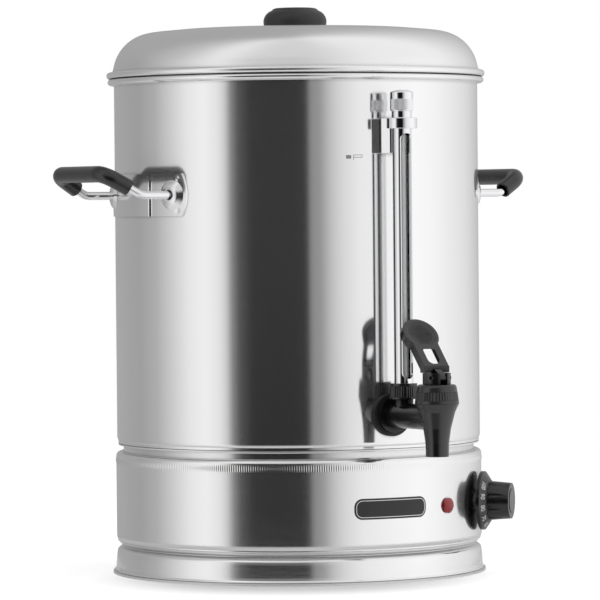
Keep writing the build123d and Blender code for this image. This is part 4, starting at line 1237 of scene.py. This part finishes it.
@dataclass
class TapLever:
    """The thumb dish's fine ribs, laid over the lever."""

    knee_reach: float = 232.4
    knee_height: float = 184.2
    lean: float = 43.0
    arm: float = 36.4
    dish_radius: float = 13.1
    dish_depth: float = 2.4
    dish_rim: float = 13.4
    rib_pitch: float = 2.4
    rib_height: float = 0.8
    rib_margin: float = 1.2
    rib_fade: float = 1.5
    ribs_stand: float = 0.03
    ribs_sunk: float = 0.3

    def build(self) -> None:
        """A lens in the dish's floor: its top is the dish plus ribs, (1 + cos of height over pitch) / 2."""
        ball = (self.dish_rim**2 + self.dish_depth**2) / (2 * self.dish_depth)
        radius = np.linspace(0, self.dish_radius, 44)[:, None]
        angle = np.linspace(0, 2 * np.pi, 72, endpoint=False)[None]
        across, up = radius * np.cos(angle), radius * np.sin(angle)
        dish = ball - self.dish_depth - np.sqrt(ball**2 - radius**2) + 0 * angle
        fade = smooth_step((self.dish_radius - self.rib_margin - np.abs(radius)) / self.rib_fade + 0 * angle)
        ribs = self.rib_height * fade * (1 + np.cos(2 * np.pi * up / self.rib_pitch)) / 2
        lean = math.radians(self.lean)
        right, along = np.array([1.0, 0, 0]), np.array([0, math.sin(lean), math.cos(lean)])
        outward = np.array([0, -math.cos(lean), math.sin(lean)])
        knee = np.array([0, -self.knee_reach, self.knee_height])

        def sheet(height: Array) -> Array:
            """Lays the round grid along the lever, at a height over the dish's rim."""
            point = across[..., None] * right + (
                up + self.arm
            )[..., None] * along + height[..., None] * outward
            return knee + point

        top, under = sheet(dish + ribs + self.ribs_stand), sheet(dish - self.ribs_sunk)
        patch = Surface(np.concatenate([under, top[::-1]]))
        make_piece("lever_thumb_ribs", [patch], BLACK_MOULDING, Body.LEVER, crease=60)


@dataclass
class DialMarks:
    """Plain numbers printed round the dial's cone."""

    azimuth: float = 46.0
    height: float = 62.0
    back: float = 162.6
    rim: float = 3.0
    cone: float = 5.0
    outer: float = 25.3
    inner: float = 18.0
    text_height: float = 4.8
    first: float = 40.0
    turn: float = 270.0
    squeeze: float = 0.8
    capital: float = 0.7  # height of a digit of the font, of its size
    ink: float = 0.05
    ink_stand: float = 0.02
    outward: float = 0.2  # how far the numbers' middle lies outside the middle of the cone
    marks: tuple[str, ...] = tuple(str(ten) for ten in range(0, 110, 10))

    def build(self) -> None:
        """Wraps each number onto the cone: its x goes round, and its y climbs the slope towards the grip."""
        slope = math.atan2(self.cone, self.outer - self.inner)
        middle = (self.outer + self.inner) / 2 + self.outward
        lift = self.back + self.rim + (self.outer - middle) * math.tan(slope)
        joined = bmesh.new()
        for i, mark in enumerate(self.marks):
            turn = math.radians(self.first + self.turn * i / (len(self.marks) - 1))
            joined.from_mesh(self.number(mark, turn, middle, lift, slope))
        numbers = bpy.data.meshes.new("dial_numbers")
        joined.to_mesh(numbers)
        joined.free()
        finish_piece(numbers, WHITE_INK, Body.DIAL)

    def number(self, mark: str, turn: float, middle: float, lift: float, slope: float) -> bpy.types.Mesh:
        """Makes one number's mesh and bends it round the cone.

        Args:
            mark: the digits.
            turn: the angle round the dial, in radians.
            middle: the cone's radius under the number's middle.
            lift: how far out of the urn's axis that middle lies.
            slope: the cone's slope in radians.

        Returns:
            The mesh, in metres, at its place.
        """
        curve = bpy.data.curves.new(f"digits_{mark}", "FONT")
        curve.body, curve.size, curve.extrude = mark, self.text_height * MM / self.capital, self.ink * MM
        curve.align_x, curve.align_y, curve.resolution_u = "CENTER", "CENTER", 3
        holder = bpy.data.objects.new("digits", curve)
        mesh = bpy.data.meshes.new_from_object(holder)
        bpy.data.objects.remove(holder)
        flat = np.zeros(3 * len(mesh.vertices))
        mesh.vertices.foreach_get("co", flat)
        x, y, z = (flat.reshape(-1, 3) / MM).T
        x = x * self.squeeze
        radius = middle - y * math.cos(slope) + z * math.sin(slope)
        angle = turn - x / middle
        stand = lift + y * math.sin(slope) + z * math.cos(slope) + self.ink_stand
        upright = Surface(np.stack([radius * np.sin(angle), radius * np.cos(angle), stand], -1)[None])
        placed = along_radius(upright, self.azimuth, self.height).points[0]
        mesh.vertices.foreach_set("co", (placed * MM).ravel())
        return mesh


@dataclass
class PilotLamp:
    """The red lens: a low dome with a small flange that covers the lamp's bezel."""

    azimuth: float = 22.8
    height: float = 62.0
    reach: float = 159.1
    bezel: float = 1.8
    radius: float = 6.4
    dome: float = 3.2
    flange: float = 0.6

    def build(self) -> None:
        """Turns the dome: its height falls with the square of the radius, to a rounded flange."""
        r = np.linspace(self.radius, 0, 18)
        crown = self.bezel + self.dome * (1 - (r / self.radius) ** 2)
        foot = self.bezel - self.flange
        profile = np.concatenate([[(0, foot), (self.radius, foot)], np.column_stack([r, crown])])
        lens = along_radius(lathe(profile, 72, closed=False), self.azimuth, self.height, self.reach)
        make_piece("pilot_red_lens", [lens], RED_LENS, Body.URN, ("pilot_lens",))


@dataclass
class PlainParts:
    """The solids that already have their final shape, each with its finish."""

    def build(self) -> None:
        """Gives every remaining node its finish."""
        finishes = {
            MILL_STEEL: ("tank_floor", "bottom_plate", "base_brackets"),
            BLACK_MOULDING: ("tap_body", "tap_bonnet", "tap_lever", "dial_knob", "dial_cap", "gauge_nut"),
            GRIP_MOULDING: ("cable_gland", "gland_locknut", "tap_nut", "lever_pin"),
            BLACK_RUBBER: ("tap_gasket_outer",),
            SILICONE: (
                "tap_gasket_inner", "gauge_seal_lower", "gauge_cap_seal", "seat_cup", "lid_knob_washer"
            ),
            ZINC: (
                "stem_pin", "tap_stem", "tap_spring", "gauge_arm_screws", "bottom_plate_screws",
                "lid_knob_screw", "thermostat_shaft", "thermostat_nut", "element_stud", "element_nut",
                "element_clamp", "bulb_clip", "pilot_clip",
            ),
            RED_LENS: ("pilot_housing",),
            PHENOLIC: ("thermostat_body", "cutout_body", "terminal_block"),
            COPPER: ("thermostat_bulb",),
            ALUMINIUM: ("element_plate",),
            BRASS: ("earth_stud",),
            RED_BUTTON: ("reset_button",),
        }
        for finish, names in finishes.items():
            for name in names:
                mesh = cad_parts[name].data
                mesh.materials.clear()
                mesh.materials.append(finish.material())
            LOG.info("%s: %s", finish.name, ", ".join(names))


# ---- studio ----


@dataclass
class Studio:
    """A pale sweep and the soft light round it: bright walls with one dark gap behind the camera."""

    camera_azimuth: float = -29.5
    distance: float = 3634.0
    eye_height: float = 316.0
    focal: float = 4170.0  # this and the next three in pixels of the frame
    frame: float = 600.0
    horizon_row: float = 207.5
    axis_column: float = 297.4
    roll: float = 0.5
    sensor: float = 36.0
    # the floor, in metres from the urn's axis
    floor_rings: tuple[float, ...] = (0, 0.2, 0.4, 0.8, 1.5, 3.5)
    floor_fade: tuple[float, float] = (0.35, 1.6)  # where it starts and ends turning into plain white
    # a painted shadow on the floor: where its middle lies ahead of the urn, and how far it reaches
    shadow_ahead: float = 0.09
    shadow_edge: tuple[float, float] = (0.08, 0.19)
    shadow_lift: float = 0.5  # light added to it outside the painted shadow
    mirrored: tuple[float, float] = (0.22, 0.34)  # where it fades out of reflections
    paint: str = "#f4f4f4"
    # degrees from the camera to the right, and how bright the studio is there
    low_light: tuple[tuple[float, float], ...] = (
        (-180, 0.38), (-145, 0.4), (-118, 0.37), (-100, 0.46), (-85, 0.7), (-72, 0.93), (-60, 1.03),
        (-50.5, 0.92), (-45.5, 0.7), (-41.5, 0.24), (-36.5, 0.06), (-29, 0.01), (-3, 0.006), (4, 0.01),
        (6.5, 0.03), (9, 0.27), (15, 0.33), (20, 0.54), (25, 0.7), (30, 0.81), (40, 0.96), (60, 1.05),
        (80, 1.12), (94, 1.08), (110, 0.98), (133, 0.83), (150, 0.66), (180, 0.38),
    )
    high_light: tuple[tuple[float, float], ...] = (
        (-180, 0.42), (-120, 0.42), (-80, 0.6), (-52, 1.0), (-25, 0.75), (10, 0.72), (50, 0.95), (110, 1.0),
        (180, 0.42),
    )
    low_end: float = 8.0  # degrees above the horizon where the low light starts to give way
    high_start: float = 28.0
    sweep: tuple[float, float] = (-15.0, -60.0)  # and where the floor's sweep starts and ends taking over
    sweep_level: float = 0.86

    def build(self) -> None:
        """Sets the camera, the light and the floor."""
        self.camera()
        self.light()
        self.floor()

    def camera(self) -> None:
        """A long lens at eye height, looking slightly down, a little beside the axis and slightly rolled."""
        a = math.radians(self.camera_azimuth)
        out, right = Vector((math.sin(a), -math.cos(a), 0)), Vector((math.cos(a), math.sin(a), 0))
        middle = self.frame / 2
        aside = right * ((middle - self.axis_column) / self.focal)
        ahead = -out + aside + Vector((0, 0, -(middle - self.horizon_row) / self.focal))
        ahead.normalize()
        data = bpy.data.cameras.new("camera")
        data.sensor_width, data.lens = self.sensor, self.focal / self.frame * self.sensor
        data.clip_start, data.clip_end = 0.1, 100.0
        camera = bpy.data.objects.new("camera", data)
        camera.location = out * self.distance * MM + Vector((0, 0, self.eye_height * MM))
        camera.rotation_mode = "QUATERNION"
        tilt = Quaternion(ahead, math.radians(self.roll))
        camera.rotation_quaternion = tilt @ ahead.to_track_quat("-Z", "Y")
        bpy.context.scene.collection.objects.link(camera)
        bpy.context.scene.camera = camera

    def brightness(
        self, tree: bpy.types.NodeTree, turn: bpy.types.NodeSocket, stops: tuple
    ) -> bpy.types.NodeSocket:
        """How bright the walls are round the horizon, in straight runs between the stops.

        Args:
            tree: the world's node tree.
            turn: 0 to 1 for -180 to 180 degrees.
            stops: pairs of degrees and brightness.

        Returns:
            The brightness as a colour.
        """
        node = add_node(tree, "ValToRGB", Fac=turn)
        elements = node.color_ramp.elements
        for index, (degrees, level) in enumerate(stops):
            place = (degrees + 180) / 360
            element = elements[index] if index < 2 else elements.new(place)
            element.position, element.color = place, (level, level, level, 1)
        return node.outputs[0]

    def light(self) -> None:
        """The world: white to the camera and through glass, and the studio's walls to everything else."""
        world = bpy.data.worlds.new("studio")
        bpy.context.scene.world = world
        world.use_nodes = True
        tree = world.node_tree
        tree.nodes.clear()
        a = math.radians(self.camera_azimuth)
        way = add_node(tree, "TexCoord").outputs["Generated"]
        dot = {"operation": "DOT_PRODUCT"}
        right = add_node(tree, "VectorMath", dot, s0=way, s1=(math.cos(a), math.sin(a), 0))
        front = add_node(tree, "VectorMath", dot, s0=way, s1=(math.sin(a), -math.cos(a), 0))
        angle = add_node(tree, "Math", {"operation": "ARCTAN2"}, s0=right.outputs[1], s1=front.outputs[1])
        turn = add_node(tree, "MapRange", Value=angle, From_Min=-math.pi, From_Max=math.pi)
        up = add_node(tree, "SeparateXYZ", Vector=way)
        climb = add_node(
            tree, "MapRange", SMOOTH, Value=up.outputs[2], From_Min=math.sin(math.radians(self.low_end)),
            From_Max=math.sin(math.radians(self.high_start)),
        )
        walls = add_node(
            tree, "Mix", COLOURS, s0=climb, s6=self.brightness(tree, turn.outputs[0], self.low_light),
            s7=self.brightness(tree, turn.outputs[0], self.high_light),
        )
        # below the horizon the sweep shows
        drop = add_node(
            tree, "MapRange", SMOOTH, Value=up.outputs[2], From_Min=math.sin(math.radians(self.sweep[0])),
            From_Max=math.sin(math.radians(self.sweep[1])),
        )
        room = add_node(tree, "Mix", COLOURS, s0=drop, s6=walls.outputs[2], s7=(*[self.sweep_level] * 3, 1))
        studio = add_node(tree, "Background", Color=room.outputs[2])
        plain = add_node(tree, "Background", Color=(1, 1, 1, 1))
        path = add_node(tree, "LightPath")
        seen = add_node(
            tree, "Math", {"operation": "MAXIMUM"}, s0=path.outputs["Is Camera Ray"],
            s1=path.outputs["Is Transmission Ray"],
        )
        both = add_node(tree, "MixShader", s0=seen, s1=studio, s2=plain)
        add_node(tree, "OutputWorld", Surface=both)

    def floor(self) -> None:
        """A round pale floor that keeps the urn's soft shadow, darkened by a painted shadow ahead of it, and
        fades into the white behind it.
        """
        radius = np.array(self.floor_rings)[:, None]
        angle = np.linspace(0, 2 * np.pi, 96, endpoint=False)[None]
        points = np.stack([radius * np.cos(angle), radius * np.sin(angle), 0 * radius * angle], -1)
        mesh = bpy.data.meshes.new("floor")
        mesh.from_pydata(points.reshape(-1, 3), [], Surface(points).faces().tolist())
        material, tree = new_tree("pale_floor")
        place = add_node(tree, "TexCoord").outputs["Object"]
        reach = add_node(tree, "VectorMath", {"operation": "LENGTH"}, s0=place)
        fade = add_node(
            tree, "MapRange", SMOOTH, Value=reach.outputs[1], From_Min=self.floor_fade[0],
            From_Max=self.floor_fade[1],
        )
        # painted shadow: the camera-only glow is left out round a point ahead of the urn, so the shadow in
        # front is part real and part painted, and the floor beside and behind it stays clear
        a = math.radians(self.camera_azimuth)
        ahead = (self.shadow_ahead * math.sin(a), -self.shadow_ahead * math.cos(a), 0)
        from_painted_shadow = add_node(tree, "VectorMath", {"operation": "DISTANCE"}, s0=place, s1=ahead)
        clear = add_node(
            tree, "MapRange", SMOOTH, Value=from_painted_shadow.outputs[1], From_Min=self.shadow_edge[0],
            From_Max=self.shadow_edge[1], To_Min=0.0, To_Max=self.shadow_lift,
        )
        paint = add_node(tree, "BsdfDiffuse", Color=to_linear(self.paint))
        path = add_node(tree, "LightPath")
        seen = path.outputs["Is Camera Ray"]
        lift = add_node(tree, "Math", {"operation": "MULTIPLY"}, s0=seen, s1=clear)
        glow = add_node(tree, "Emission", Color=(1, 1, 1, 1), Strength=lift)
        near = add_node(tree, "AddShader", s0=paint, s1=glow)
        far = add_node(tree, "Emission", Color=(1, 1, 1, 1))
        mix = add_node(tree, "MixShader", s0=fade, s1=near, s2=far)
        # in reflections only the floor close to the foot shows, and the studio shows past it
        near_foot, far_off = self.mirrored
        past = add_node(tree, "MapRange", Value=reach.outputs[1], From_Min=near_foot, From_Max=far_off)
        gone = add_node(tree, "Math", {"operation": "MULTIPLY"}, s0=path.outputs["Is Glossy Ray"], s1=past)
        nothing = add_node(tree, "BsdfTransparent")
        table = add_node(tree, "MixShader", s0=gone, s1=mix, s2=nothing)
        add_node(tree, "OutputMaterial", Surface=table)
        mesh.materials.append(material)
        floor = bpy.data.objects.new("floor", mesh)
        bpy.context.scene.collection.objects.link(floor)


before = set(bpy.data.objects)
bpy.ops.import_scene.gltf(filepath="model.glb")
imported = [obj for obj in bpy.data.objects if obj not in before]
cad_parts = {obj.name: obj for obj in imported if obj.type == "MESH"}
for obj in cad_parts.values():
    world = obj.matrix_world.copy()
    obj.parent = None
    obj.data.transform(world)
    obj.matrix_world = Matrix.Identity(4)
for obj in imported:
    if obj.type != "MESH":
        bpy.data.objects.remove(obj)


def main() -> None:
    """Builds the urn in order, from the ground up, then the studio round it."""
    logging.basicConfig(level=logging.INFO, format="%(name)s %(message)s")
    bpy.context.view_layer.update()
    handles = [Handle(Side.RIGHT, rod_bend=18.0, rod_run=3.8), Handle(Side.LEFT)]
    parts = [Base(), Drum(), Lid(), *handles, SightGauge(), TapLever(), DialMarks(), PilotLamp()]
    for part in [*parts, PlainParts(), Studio()]:
        LOG.info("building %s", type(part).__name__)
        part.build()
    bpy.context.scene.view_settings.view_transform = "Standard"


if __name__ == "__main__":
    main()
